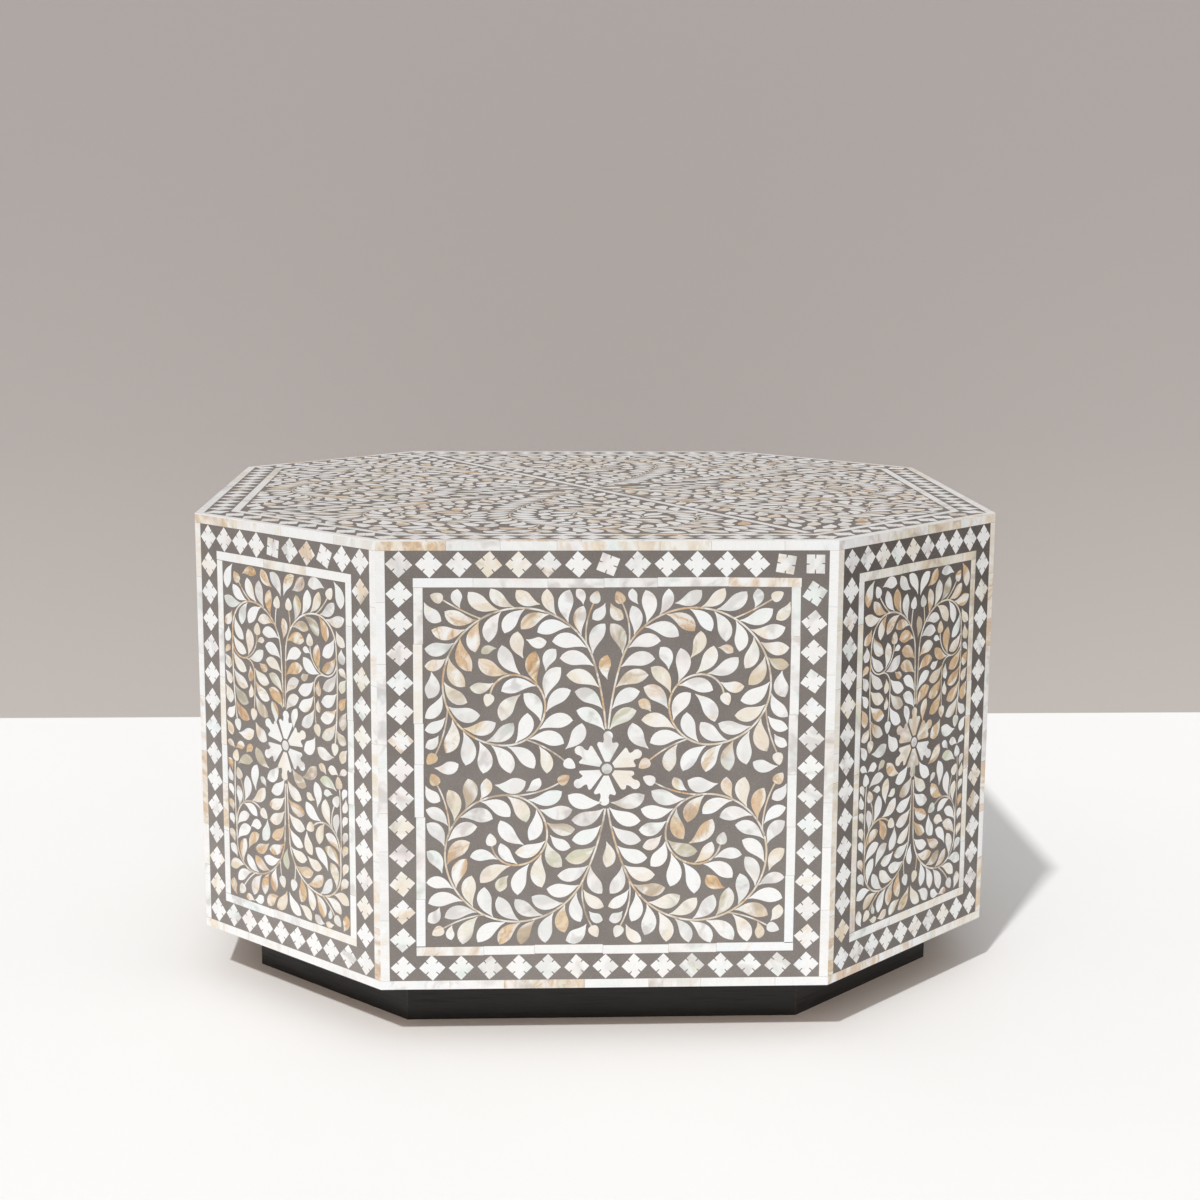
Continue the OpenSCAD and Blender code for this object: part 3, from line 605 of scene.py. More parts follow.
def side_diamonds(inlay, i, place):
    x, y = face_w(i) / 2 - DIAMOND_INSET, FACE_HALF_H - DIAMOND_INSET
    columns, rows = round(2 * x / DIAMOND_PITCH), round(2 * y / DIAMOND_PITCH)
    tan = 0.1 if i in (0, 7) else 0.3
    wobble = inlay.rng.normal(0, 2.2, (columns + rows + 2, 2))
    for c in range(columns + 1):
        for s in (-1, 1):
            turn = ROW_TURNS.get(i, {}).get(c, wobble[c, s]) if s == 1 else wobble[c, s]
            diamond(inlay, place, ((2 * c / columns - 1) * x, s * y), turn, tan)
    for r in range(1, rows):
        for s in (-1, 1):
            own = wobble[columns + r, s]
            turn = COLUMN_TURNS.get(i, {}).get(r, own) if s == 1 else own
            diamond(inlay, place, (s * x, (2 * r / rows - 1) * y), turn, tan)


# Share of amber slips in a face's outer strips and in its inner ones, and its share of cream slips
STRIP_SHARES = {"front": (0.22, 0.12, 0.13), "front_right": (0.85, 0.4, 0.6),
                "front_left": (0.45, 0.2, 0.2)}
USUAL_SHARES = (0.3, 0.14, 0.16)

# Cream slips in the front's top strip, by their place from the left
FRONT_SLIPS = {0: 0.76, 4: 0.78}


def side_border(i):
    inlay = Inlay(100 + i)
    place = on_face(i)
    half, inner_x, inner_y = face_w(i) / 2, field_w(i) / 2, FIELD_H / 2
    loose = 0.34 if i == 0 else 0.22
    rims, skins, cream = STRIP_SHARES.get(FACES[i], USUAL_SHARES)
    for s in (1, -1):
        slip_run(inlay, place, half, half, FACE_HALF_H - STRIP_W, FACE_HALF_H, mirror=(1, s),
                 mitre=PEARL_T * MITRE, shades=FRONT_SLIPS if i == 0 and s == 1 else None, skins=rims,
                 cream=cream)
        corner_run(inlay, place, i, 2 * (FACE_HALF_H - STRIP_W) - SLIP_JOINT, (s, 1), rims, cream)
        slip_run(inlay, place, inner_x + STRIP_W, inner_x + STRIP_W, inner_y, inner_y + STRIP_W,
                 mirror=(1, s), loose=loose, skins=skins, cream=cream)
        slip_run(inlay, place, inner_y - SLIP_JOINT, inner_y - SLIP_JOINT, inner_x, inner_x + STRIP_W,
                 spin=-90, mirror=(s, 1), loose=loose, skins=skins, cream=cream)
    side_diamonds(inlay, i, place)
    inlay.finish(f"border_shell_{FACES[i]}", BORDER_SHELL, "pearl_border", f"border_{FACES[i]}")


TOP_CORNER = np.array([half_at(0, BORDER_W), BORDER_W - ACROSS / 2])
TOP_STRIP_TURN = math.degrees(math.atan2(TOP_CORNER[1], TOP_CORNER[0]))


def top_border():
    inlay = Inlay(120)
    for i in range(8):
        place = on_top(i)
        for depth in (0, STRIP_W + BAND_W):
            half0, half1 = half_at(i, depth) - SLIP_JOINT / 2, half_at(i, depth + STRIP_W) - SLIP_JOINT / 2
            slip_run(inlay, place, half0, half1, depth - face_away(i), depth + STRIP_W - face_away(i))
        reach = half_at(i, DIAMOND_INSET)
        n = round(2 * reach / DIAMOND_PITCH)
        for k in range(n):
            diamond(inlay, place, ((2 * k / n - 1) * reach, DIAMOND_INSET - face_away(i)),
                    -22.5 if k == 0 else inlay.rng.normal(0, 2.2))
    reach = np.hypot(*TOP_CORNER) - STRIP_W
    slip_run(inlay, on_top(0), reach, reach, -STRIP_W / 2, STRIP_W / 2, spin=TOP_STRIP_TURN)
    inlay.finish("border_shell_top", BORDER_SHELL, "pearl_border", "top_border")


# Stems: a start heading, arcs as (radius, turn) and branches as (arc, share, angle, arcs, branches)

LARGE_UPPER = (94, [(290, 12), (66, 74), (68, 90), (54, 90), (35, 90), (28, 90), (20, 80)], [
    (1, 0.2, -23, [(62, -34)]), (2, 0.34, -52, [(190, -11)]),
    (3, 0.25, -26, [(110, -22)]), (4, 0.35, -50, [(100, -22)])])
LARGE_LOWER = (98, [(230, 17), (66, 65), (62, 90), (54, 90), (36, 90), (28, 90), (21, 80)], [
    (1, 0, -16, [(66, -38)]), (2, 0.3, -34, [(90, -24)]),
    (3, 0.25, -22, [(90, -28)]), (4, 0.1, -9, [(80, -30)])])
NARROW_UPPER = (92, [(3000, 1), (42, 88), (28, 85), (420, 12)], [
    (1, 0.35, -31, [(60, -16)]), (2, 0, -34, [(60, -22)]),
    (3, 0.16, 4, [(15, 98), (12, -98), (220, -9)], [(0, 0.9, 6, [(24, 84)])])])
NARROW_LOWER = (92, [(3000, 1), (46, 86), (26, 86), (110, 14), (22, 120)], [
    (1, 0.35, -31, [(60, -14)]), (2, 0, -30, [(60, -22)]),
    (3, 0.5, -6, [(480, 8)]), (4, 0.4, -44, [(30, -30), (40, -10)])])
TOP_WIDE = ((20, -8, -34), [
    (510, 21), (96, 103), (80, 90), (66, 90), (50, 90), (38, 90), (27, 90), (18, 90)], [
    (0, 0.5, 24, [(90, 20)]), (1, 0.55, -44, [(60, -20)]),
    (2, 0.5, -40, [(80, 20)]), (4, 0.1, -36, [(60, -30)])])
TOP_NARROW = ((24, 0, -11), [(1450, 9.5), (56, 92), (50, 90), (42, 90), (32, 90), (23, 90), (16, 90)], [
    (0, 0.45, 16, [(90, 20)]), (1, 0.7, -44, [(70, -30)]), (2, 0.6, -40, [(60, 20)])])
STEM_FOOT = (-(STEM_W + 0.3) / 2, PETAL_R + 4)

# The top's stems also have a start place, and are drawn for a field that reaches this far from the middle
TOP_DRAWN = 340
TOP_SCALE = (ACROSS / 2 - BORDER_W) / TOP_DRAWN


def along_arc(at, arc, share):
    """The point and heading at a share of an arc, which starts at a point with a heading."""
    radius, turn = arc
    side = math.copysign(1, turn)
    a, b = math.radians(at[2]), math.radians(at[2] + share * turn)
    x, y = at[0] - side * radius * math.sin(a), at[1] + side * radius * math.cos(a)
    return (x + side * radius * math.sin(b), y - side * radius * math.cos(b), at[2] + share * turn)


def grown(start, arcs, branches, scale, level=0):
    """A stem and its branches, each as (level, its arcs with their starts, its end)."""
    runs, at = [], start
    for radius, turn in arcs:
        runs.append((at, (radius * scale, turn)))
        at = along_arc(at, runs[-1][1], 1)
    stems = [(level, runs, at)]
    for k, share, angle, arcs_off, *more in branches:
        x, y, heading = along_arc(*runs[k], share)
        stems += grown((x, y, heading + angle), arcs_off, more[0] if more else (), scale, level + 1)
    return stems


def walk(stem, step):
    """Points with headings along a stem, from its start to its end, one about every step."""
    out = []
    for at, arc in stem[1]:
        n = max(2, round(arc[0] * math.radians(abs(arc[1])) / step))
        out += [along_arc(at, arc, j / n) for j in range(n)]
    return np.array(out + [stem[2]])


def side_quarter(i, upper):
    upper_and_lower = (NARROW_UPPER, NARROW_LOWER) if i % 2 else (LARGE_UPPER, LARGE_LOWER)
    heading, arcs, branches = upper_and_lower[0 if upper else 1]
    return grown((*STEM_FOOT, heading), arcs, branches, 1.0)


def top_quarter():
    stems = []
    for ((x, y, heading), arcs, branches), turn in ((TOP_WIDE, 0), (TOP_NARROW, -45)):
        foot = turned(np.array([x, y]) * TOP_SCALE, turn)
        stems += grown((foot[0], foot[1], heading + turn), arcs, branches, TOP_SCALE)
    return stems


# Leaves

LEAF_RATIO = 0.44
LEAF_BOW = 0.115
LEAF_BELLY = 0.62
LEAF_FOOT = 0.22
LEAF_GAP = 1.65
STEM_CLEAR = 0.4
EDGE_CLEAR = 0.4
FOOT_CLEAR = 0.9
FOOT_INSIDE = 0.6
LEAF_STATIONS = 11
LEAF_LENGTHS = np.array([29.0, 27.5, 26, 24.5, 23, 21.5, 20, 18.5, 17, 15.5, 14, 12.5])
LEAF_ANGLES = np.array([44.0, 38, 50, 56, 32, 62])
NARROW_LEAVES = 0.82
LEAF_W = (10.4, 13.4)
BUD_L, BUD_W = 12.2, 10.6


def leaf_swell(t):
    """Half width along a leaf as a share of its most: a drawn-out foot, a full belly and a cornered tip."""
    return (t / LEAF_BELLY) ** 1.42 * ((1 - t) / (1 - LEAF_BELLY)) ** 0.87


def leaf_spine(t, length, side):
    """A leaf's middle line. It leaves its stem at a low angle and swings out."""
    return length * t, side * length * LEAF_BOW * np.sin(np.pi * t)


# Where round areas cover a leaf, as shares of its length, and which of them is its middle
COVER_AT = np.array([0.18, 0.28, 0.38, 0.48, 0.58, 0.68, 0.78, 0.87, 0.94, 1.0])
MIDDLE_AREA = 4


def leaf_circles(x, y, heading, length, side, ratio):
    """Round areas that cover leaves, as x, y and radius. Arrays of leaves give one row a leaf."""
    length, ratio = (np.asarray(v, float)[..., None] for v in (length, ratio))
    angle = np.radians(np.asarray(heading, float))[..., None]
    u, v = leaf_spine(COVER_AT, length, side)
    r = length * ratio / 2 * leaf_swell(COVER_AT)
    return x + u * np.cos(angle) - v * np.sin(angle), y + u * np.sin(angle) + v * np.cos(angle), r


class Field:
    """The free room of a field: how far each point lies from what is laid and from the stems."""

    CELL = 0.5
    FAR = 12.0

    def __init__(self, low, high, lines):
        self.low = np.array(low, float)
        self.x = np.arange(low[0], high[0], self.CELL)
        self.y = np.arange(low[1], high[1], self.CELL)
        shape = (len(self.x), len(self.y))
        self.laid = np.full(shape, self.FAR)
        self.stem = np.full(shape, self.FAR)
        self.edge = np.min([d - a * self.x[:, None] - b * self.y[None] for a, b, d in lines], 0)

    def cell(self, x, y):
        i = np.clip(np.rint((x - self.low[0]) / self.CELL).astype(int), 0, len(self.x) - 1)
        j = np.clip(np.rint((y - self.low[1]) / self.CELL).astype(int), 0, len(self.y) - 1)
        return i, j

    def lay(self, grid, xs, ys, radii):
        """Marks round areas as taken."""
        for x, y, r in zip(np.ravel(xs), np.ravel(ys), np.ravel(radii)):
            i0, j0 = self.cell(x - r - self.FAR, y - r - self.FAR)
            i1, j1 = self.cell(x + r + self.FAR, y + r + self.FAR)
            part = grid[i0:i1 + 1, j0:j1 + 1]
            away = np.hypot(self.x[i0:i1 + 1, None] - x, self.y[None, j0:j1 + 1] - y) - r
            np.minimum(part, away, out=part)

    def clear(self, grid, x, y, r):
        """Which of several rows of round areas keep clear of a grid's marks, the stems and the edge."""
        cells = self.cell(x, y)
        return ((grid[cells] >= r + LEAF_GAP) & (self.stem[cells] >= r + STEM_CLEAR)
                & (self.edge[cells] >= r + EDGE_CLEAR)).all(-1)


def bud_middle(stem):
    x, y, heading = stem[2]
    a = math.radians(heading)
    return x + BUD_L / 2 * math.cos(a), y + BUD_L / 2 * math.sin(a)


class Laying:
    """The leaves of a field while they are laid, each as x, y, heading, length, side, ratio and the way that
    it can slide."""

    # How far off a leaf still matters, how much room is ample, and the room of a leaf with none near it
    NEAR = 42
    AMPLE = 3.2
    OPEN = 9.0

    def __init__(self, field, stems, size, rng):
        self.field, self.stems, self.size, self.rng = field, stems, size, rng
        self.lengths = LEAF_LENGTHS * size
        self.widths = np.array(LEAF_W) * (0.3 + 0.7 * size)
        self.leaves, self.feet = [], {}

    def ratio(self, length):
        return np.clip(self.widths[0] / length, LEAF_RATIO, 0.56)

    def add(self, x, y, heading, length, side, slide):
        leaf = (x, y, heading, length, side, float(self.ratio(length)), slide)
        self.leaves.append(leaf)
        self.field.lay(self.field.laid, *leaf_circles(*leaf[:6]))

    def along_stems(self, least, apart):
        """Lays leaves no shorter than least along both sides of the stems, with their feet no nearer to
        each other than apart."""
        lengths, angles = [g.ravel() for g in np.meshgrid(self.lengths, LEAF_ANGLES, indexing="ij")]
        ratios = self.ratio(lengths)
        for n, stem in enumerate(self.stems):
            path = walk(stem, 1.0)
            for side in (1, -1):
                taken = self.feet.setdefault((n, side), [])
                for k in range(int(self.rng.integers(0, 3)), len(path)):
                    if any(abs(k - t) < apart for t in taken):
                        continue
                    x, y, heading = path[k]
                    a = math.radians(heading)
                    away = side * (STEM_W / 2 + 0.05)
                    fx, fy = x - away * math.sin(a), y + away * math.cos(a)
                    turns = heading + side * angles
                    circles = leaf_circles(fx, fy, turns, lengths, -side, ratios)
                    fit = self.field.clear(self.field.laid, *circles) & (lengths >= least * self.size)
                    if fit.any():
                        best = int(np.argmax(fit))
                        self.add(fx, fy, turns[best], lengths[best], -side, heading)
                        taken.append(k)

    def into_holes(self, room, least):
        """Lays leaves no shorter than least into the holes with this much room round their middle. They
        lean as the leaves of the nearest stem do, where they can."""
        field = self.field
        paths = np.concatenate([walk(stem, 2.0) for stem in self.stems])
        lengths, offsets = [g.ravel() for g in np.meshgrid(
            self.lengths[self.lengths >= least * self.size],
            (0, -20, 20, -45, 45, -75, 75, 110, -110, 150, -150, 180), indexing="ij")]
        ratios = self.ratio(lengths)
        free = np.minimum(np.minimum(field.laid, field.stem + 0.8), field.edge + 1.2)
        while True:
            i, j = np.unravel_index(np.argmax(free), free.shape)
            if free[i, j] < room * self.size:
                return
            cell = np.array([field.x[i], field.y[j]])
            off = cell - paths[:, :2]
            near = int(np.argmin((off ** 2).sum(1)))
            a = math.radians(paths[near, 2])
            side = 1 if off[near] @ (-math.sin(a), math.cos(a)) > 0 else -1
            headings = paths[near, 2] + side * 50 + offsets
            ahead = np.stack([np.cos(np.radians(headings)), np.sin(np.radians(headings))], -1)
            feet = cell - ahead * (COVER_AT[MIDDLE_AREA] * lengths)[:, None]
            at = field.cell(feet[:, 0], feet[:, 1])
            bare = np.minimum(np.minimum(field.laid, field.stem)[at], field.edge[at])
            circles = leaf_circles(feet[:, :1], feet[:, 1:], headings, lengths, -side, ratios)
            fit = field.clear(field.laid, *circles) & (bare > FOOT_CLEAR)
            if fit.any():
                best = int(np.argmax(np.where(fit, lengths * (1 - np.abs(offsets) / 700), 0)))
                self.add(*feet[best], headings[best], lengths[best], -side, None)
                np.minimum(free, field.laid, out=free)
            free[max(i - 4, 0):i + 5, max(j - 4, 0):j + 5] = 0

    def nudged(self, k, shifts, turns, growths, ratios, reward):
        """Moves leaf k to the best of many near places, as a reward tells from its room and size."""
        x, y, heading, length, side, ratio, slide = self.leaves[k]
        choices = np.meshgrid(shifts, turns, growths, ratios, indexing="ij")
        shift, turn, growth, fuller = [g.ravel() for g in choices]
        a = math.radians(heading if slide is None else slide)
        px, py = x + shift * math.cos(a), y + shift * math.sin(a)
        if slide is None:
            px = np.concatenate([px, x - shift * math.sin(a)])
            py = np.concatenate([py, y + shift * math.cos(a)])
            turn, growth, fuller = (np.tile(v, 2) for v in (turn, growth, fuller))
        lengths = np.clip(length * growth, None, max(length, self.lengths[0] * 1.06))
        widths = np.clip(ratio + fuller, None, np.maximum(self.widths[1] / lengths, ratio))
        cx, cy, r = leaf_circles(px[:, None], py[:, None], heading + turn, lengths, side, widths)
        inside = self.field.edge[self.field.cell(px, py)] > FOOT_INSIDE
        fit = self.field.clear(self.field.fixed, cx, cy, r) & inside
        near = np.hypot(*(self.middles - self.middles[k]).T) < self.NEAR
        near[k] = False
        others = self.circles[near].reshape(-1, 3)
        room = np.full(len(fit), self.OPEN)
        if fit.any() and len(others):
            off_x, off_y = cx[fit][..., None] - others[:, 0], cy[fit][..., None] - others[:, 1]
            away = np.hypot(off_x, off_y) - others[:, 2]
            room[fit] = (away - r[fit][..., None]).min((1, 2))
        score = np.where(fit, reward(room, lengths, widths, turn), -1e9)
        best = int(np.argmax(score))
        if score[best] > -1e8:
            turned_to = heading + turn[best]
            self.leaves[k] = (px[best], py[best], turned_to, lengths[best], side, widths[best], slide)
            self.circles[k] = np.stack([cx[best], cy[best], r[best]], -1)
            self.middles[k] = self.circles[k, MIDDLE_AREA, :2]

    def swept(self, *ranges, reward):
        self.circles = np.array([np.stack(leaf_circles(*leaf[:6]), -1) for leaf in self.leaves])
        self.middles = self.circles[:, MIDDLE_AREA, :2].copy()
        for k in self.rng.permutation(len(self.leaves)):
            self.nudged(k, *ranges, reward)

    def spread(self):
        """Slides and turns the leaves till their gaps are even, and marks anew what is taken."""
        def even(room, lengths, widths, turn):
            return np.minimum(room, self.AMPLE) - np.abs(turn) / 40
        for _ in range(3):
            self.swept((-1.6, -0.8, 0.0, 0.8, 1.6), (-8.0, -4.0, 0.0, 4.0, 8.0), (1.0,), (0.0,),
                       reward=even)
        self.field.laid = self.field.fixed.copy()
        for leaf in self.leaves:
            self.field.lay(self.field.laid, *leaf_circles(*leaf[:6]))

    def fill_out(self):
        """Turns, lengthens and widens the leaves until they fill the room round them."""
        def full(room, lengths, widths, turn):
            size = lengths ** 2 * widths - 2 * np.abs(turn)
            return np.where(room >= LEAF_GAP, size, 100 * (room - LEAF_GAP))
        self.swept((-0.8, 0.0, 0.8), (-9.0, -4.0, 0.0, 4.0, 9.0), (1.0, 1.06, 1.12, 1.2),
                   (0.0, 0.03, 0.06, 0.1), reward=full)


def strewn(field, stems, size, rng):
    """Leaves as (x, y, heading, length, side, ratio): the long ones along both sides of the stems, then those
    in the holes. At last they are spread evenly, and each fills out the room that is left round it."""
    for stem in stems:
        path = walk(stem, 1.0)
        field.lay(field.stem, path[:, 0], path[:, 1], np.full(len(path), STEM_W / 2))
        field.lay(field.laid, *bud_middle(stem), BUD_W / 2 + 0.3)
    field.fixed = field.laid.copy()
    laying = Laying(field, stems, size, rng)
    for least, apart in ((25, 14.0), (22, 13.0), (19, 12.0)):
        laying.along_stems(least, apart * size)
    laying.into_holes(6.4, 20)
    laying.spread()
    laying.along_stems(17, 9.0 * size)
    laying.into_holes(5.2, 16)
    laying.spread()
    laying.into_holes(4.6, 13)
    laying.along_stems(12, 8.0 * size)
    for _ in range(2):
        laying.fill_out()
    return [leaf[:6] for leaf in laying.leaves]


# A leaf that stands between the two main stems, in the upper and the lower half of large and narrow faces
MIDDLE_LEAVES = {(0, True): (0.0, 80.0, 90.0, 22.0, 1, 0.5), (0, False): (0.0, 66.0, 90.0, 24.0, -1, 0.48),
                 (1, True): (0.0, 99.0, 90.0, 20.0, -1, 0.46), (1, False): (0.0, 98.0, 90.0, 20.0, 1, 0.46)}


def side_leaves(i, upper, seed):
    """The stems and leaves of one quarter of a side field, left of the middle. The upper one hangs a little
    below the midline."""
    w, h, low = field_w(i) / 2, FIELD_H / 2, -5.0 if upper else 6.5
    field = Field((-w, low), (0.6, h), [(1, 0, -0.5), (-1, 0, w), (0, -1, -low), (0, 1, h)])
    field.lay(field.laid, 0, 0, DISC_D / 2 + 4)
    for k in range(PETALS):
        for reach, r in ((13, 5.5), (19, 9.2), (PETAL_R - BALL_IN, 4.5)):
            field.lay(field.laid, *turned(np.array([0, reach]), k * 60), r)
    field.lay(field.laid, *leaf_circles(*MIDDLE_LEAVES[i % 2, upper]))
    stems = side_quarter(i, upper)
    return stems, strewn(field, stems, NARROW_LEAVES if i % 2 else 1.0, np.random.default_rng(seed))


def top_leaves(k, seed):
    """The stems and leaves of the top's quarter k, which the long strip cuts off on one side."""
    reach = ACROSS / 2 - BORDER_W
    a, b = math.radians(TOP_STRIP_TURN), math.radians(TOP_STRIP_TURN + 90)
    low, high = (STRIP_W / 2 + 1.2, 0.6) if k % 2 == 0 else (0.6, STRIP_W / 2 + 1.2)
    slope = math.sqrt(0.5)
    lines = [(math.sin(a), -math.cos(a), -low), (-math.sin(b), math.cos(b), -high), (1, 0, reach),
             (0, -1, reach), (slope, -slope, NARROW_AWAY - BORDER_W)]
    field = Field((-10, -reach), (reach, 200), lines)
    stems = top_quarter()
    return stems, strewn(field, stems, 0.95, np.random.default_rng(seed))


def leaf_outline(leaf, rng):
    x, y, heading, length, side, ratio = leaf
    t = np.linspace(0, 1, LEAF_STATIONS + 1) ** 0.9
    u, v = leaf_spine(t, length, side)
    du, dv = np.gradient(u, t), np.gradient(v, t)
    size = np.hypot(du, dv)
    half = length * ratio / 2 * leaf_swell(t) * rng.uniform(0.96, 1.02)
    half[0] = LEAF_FOOT
    left = np.stack([u - dv / size * half, v + du / size * half], -1)
    right = np.stack([u + dv / size * half, v - du / size * half], -1)[:-1]
    return turned(np.concatenate([left, right[::-1]]), heading) + [x, y]


def leaf_shade(rng, warm):
    """Most leaves are white or light grey, the rest run through cream to a little tan and green."""
    kinds = ((0.0, 0.42), (0.42, 0.57), (0.60, 0.80), (0.80, 1.0))
    shares = np.array([0.53 - 0.04 * warm, 0.2, 0.2, 0.07 + 0.04 * warm])
    return rng.uniform(*kinds[rng.choice(4, p=shares / shares.sum())])


def lay_leaves(inlay, place, leaves, mirror=(1, 1), warm=0.0):
    """Lays leaves. The higher warm is, the more of them are cut near the shell's amber skin."""
    for leaf in leaves:
        outline = leaf_outline(leaf, inlay.rng) * mirror
        tip = outline[len(outline) // 2] - outline[0]
        grain = math.degrees(math.atan2(tip[1], tip[0])) + inlay.rng.normal(0, 35)
        skin = inlay.rng.random() ** (2.0 - 0.6 * warm) * (0.91 + 0.05 * warm)
        if inlay.rng.random() < 0.2 * warm:
            skin = inlay.rng.uniform(0.84, 1.0)
        inlay.cut(place, outline, leaf_shade(inlay.rng, warm), grain, skin=skin)


def lay_stems(inlay, place, stems, mirror=(1, 1), pale=0.88):
    """Lays stems as thin ribbons of tan slips, each with a bud at its tip. pale is the palest one's shade."""
    rng = inlay.rng
    for stem in stems:
        top = -STEM_LAP * stem[0]
        path = walk(stem, 3.0)
        width = STEM_W / 2 * (0.74 if stem[0] else 0.88)
        k = 0
        while k < len(path) - 1:
            end = min(k + int(rng.integers(7, 16)), len(path) - 1)
            if len(path) - 1 - end < 5:
                end = len(path) - 1
            run = path[k:end + 1]
            a = np.radians(run[:, 2])
            side = np.stack([-np.sin(a), np.cos(a)], -1) * width
            outline = np.concatenate([run[:, :2] - side, (run[:, :2] + side)[::-1]]) * mirror
            shade = rng.uniform(pale, 0.945)
            skin = 0.95 if rng.random() < 0.3 else 0.2
            inlay.cut(place, outline, shade, run[0, 2] + 90, top, edge=STEM_EDGE, skin=skin)
            k = end
        bud(inlay, place, stem, top, mirror)


def bud(inlay, place, stem, top, mirror):
    """A plump bud with a pointed far end."""
    rng = inlay.rng
    t = np.linspace(0, 1, 11)
    half = BUD_W / 2 * np.sin(np.pi * t ** 0.78) ** 0.62 * (1 - 0.25 * t)
    under, over = np.stack([t * BUD_L, -half], -1), np.stack([t * BUD_L, half], -1)
    shape = np.concatenate([under[:-1], over[:0:-1]])
    turn = stem[2][2] + rng.normal(0, 8)
    shade = rng.uniform(0.3, 0.86)
    inlay.cut(place, (turned(shape, turn) + stem[2][:2]) * mirror, shade, turn + 60, top)


# Shades of a rosette's petals and how near the amber skin they were cut, for the face that has warmer ones
ROSETTE_TONES = {"front_right": ((0.5, 0.72, 0.84, 0.9), 0.6)}


def rosette(inlay, place, name):
    """A disc and six petals, each a wedge with rounded shoulders and a ball."""
    rng = inlay.rng
    shades, skin = ROSETTE_TONES.get(name, ((0.1, 0.25, 0.3, 0.62, 0.68), 0.15))
    lean = rng.normal(-3, 1)
    around = np.radians(np.arange(0, 360, 20))
    inlay.cut(place, np.stack([np.cos(around), np.sin(around)], -1) * DISC_D / 2, 0.5, skin=0)
    ball = np.radians(np.arange(-32, 90.1, 12.2))
    for k in range(PETALS):
        lobe, deep = rng.uniform(1.3, 3.0), rng.uniform(0, 1.6)
        corner = np.array([PETAL_W / 2 + 0.3 - lobe, PETAL_R - SHOULDER_IN - lobe])
        right = [[2.3, 6.3]] + [corner + lobe * np.array([math.cos(a), math.sin(a)])
                                for a in np.radians((-22, 15, 50, 85))]
        right += [[4.6, PETAL_R - 8.2 - deep], [3.75, PETAL_R - 7.3 - deep * 0.5]]
        right += [[BALL_R * math.cos(a), PETAL_R - BALL_IN + BALL_R * math.sin(a)] for a in ball]
        right = np.array(right)
        left = (right[:-1] + rng.normal(0, 0.14, (len(right) - 1, 2)))[::-1] * [-1, 1]
        shape = np.concatenate([right, left]) * rng.normal(1, 0.014, 2)
        turn = k * 360 / PETALS + lean + rng.normal(0, 1.2)
        shade = rng.choice(shades)
        inlay.cut(place, turned(shape, turn), shade, turn + 90, skin=skin + rng.uniform(-0.15, 0.25))


# The shade of the palest stem slips, for the face where they are paler than on the others
PALEST_STEMS = {"front_left": 0.74}


def lay_side_inlay():
    """The scrolls and leaves of the side faces. Each quarter has a left-hand and a right-hand laying, which
    differ as hand work does. The narrow faces were laid with warmer pieces."""
    laid = {(narrow, upper, s): side_leaves(narrow, upper, 10 * narrow + 2 * upper + s + 300)
            for narrow in (0, 1) for upper in (True, False) for s in (0, 1)}
    for i, name in enumerate(FACES):
        place = on_face(i)
        scroll, leaves = Inlay(200 + i), Inlay(400 + i)
        rosette(scroll, place, name)
        warm = float(i % 2)
        for upper in (True, False):
            lay_leaves(leaves, place, [MIDDLE_LEAVES[i % 2, upper]], (1, 1 if upper else -1), 1.0)
            for s in (0, 1):
                stems, spread = laid[i % 2, upper, (s + i // 2) % 2]
                mirror = (1 if s == 0 else -1, 1 if upper else -1)
                lay_stems(scroll, place, stems, mirror, PALEST_STEMS.get(name, 0.86))
                lay_leaves(leaves, place, spread, mirror, warm * (1.2 if upper else 0.8))
        scroll.finish(f"scroll_shell_{name}", SCROLL_SHELL, "pearl_scroll", f"scroll_{name}")
        leaves.finish(f"leaf_shell_{name}", LEAF_SHELL, "pearl_leaves", f"leaves_{name}")


def lay_top_inlay():
    scroll, leaves = Inlay(220), Inlay(420)
    quarters = [top_leaves(0, 501), top_leaves(1, 502)]
    for k in range(4):
        stems, spread = quarters[k % 2]
        lay_stems(scroll, on_top(2 * k), stems)
        lay_leaves(leaves, on_top(2 * k), spread)
    scroll.finish("scroll_shell_top", SCROLL_SHELL, "pearl_scroll", "top_scroll")
    leaves.finish("leaf_shell_top", LEAF_SHELL, "pearl_leaves", "top_leaves")


# Resin

# Painted shade on a face's resin at its head and at its foot, from 0 to 1: darker up high, far from the floor's
# bounced light, and darkest on front_right, out of the sun.
RESIN_PAINTED_SHADE = {"front": (0.52, 0.33), "front_right": (0.98, 0.67), "front_left": (0.49, 0.19),
               "back": (0.66, 0.5), "left": (0.7, 0.5), "right": (0.75, 0.55), "back_left": (0.6, 0.45),
               "back_right": (0.6, 0.45), "top": (0.55, 0.55)}


def slab(face, rings, node):
    """A closed slab of resin through rings of points in millimetres, each with as many points."""
    n = len(rings[0])
    faces = [tuple(range(n))[::-1], tuple(range((len(rings) - 1) * n, len(rings) * n))]
    for low in range(0, (len(rings) - 1) * n, n):
        faces += [(low + k, low + (k + 1) % n, low + (k + 1) % n + n, low + k + n) for k in range(n)]
    points = np.concatenate(rings)
    piece = new_piece(f"resin_{face}", (points * MM).tolist(), faces, DARK_RESIN)
    # Painted shade: each point of the slab gets the shade painted at its height on its face
    head, foot = RESIN_PAINTED_SHADE[face]
    painted_shade = foot + (head - foot) * (points[:, 2] - PLINTH_H) / (PEARL_TOP - PLINTH_H)
    depth = piece.data.attributes.new("painted_shade", "FLOAT", "POINT")
    depth.data.foreach_set("value", painted_shade.astype(np.float32))
    carry(piece, node)


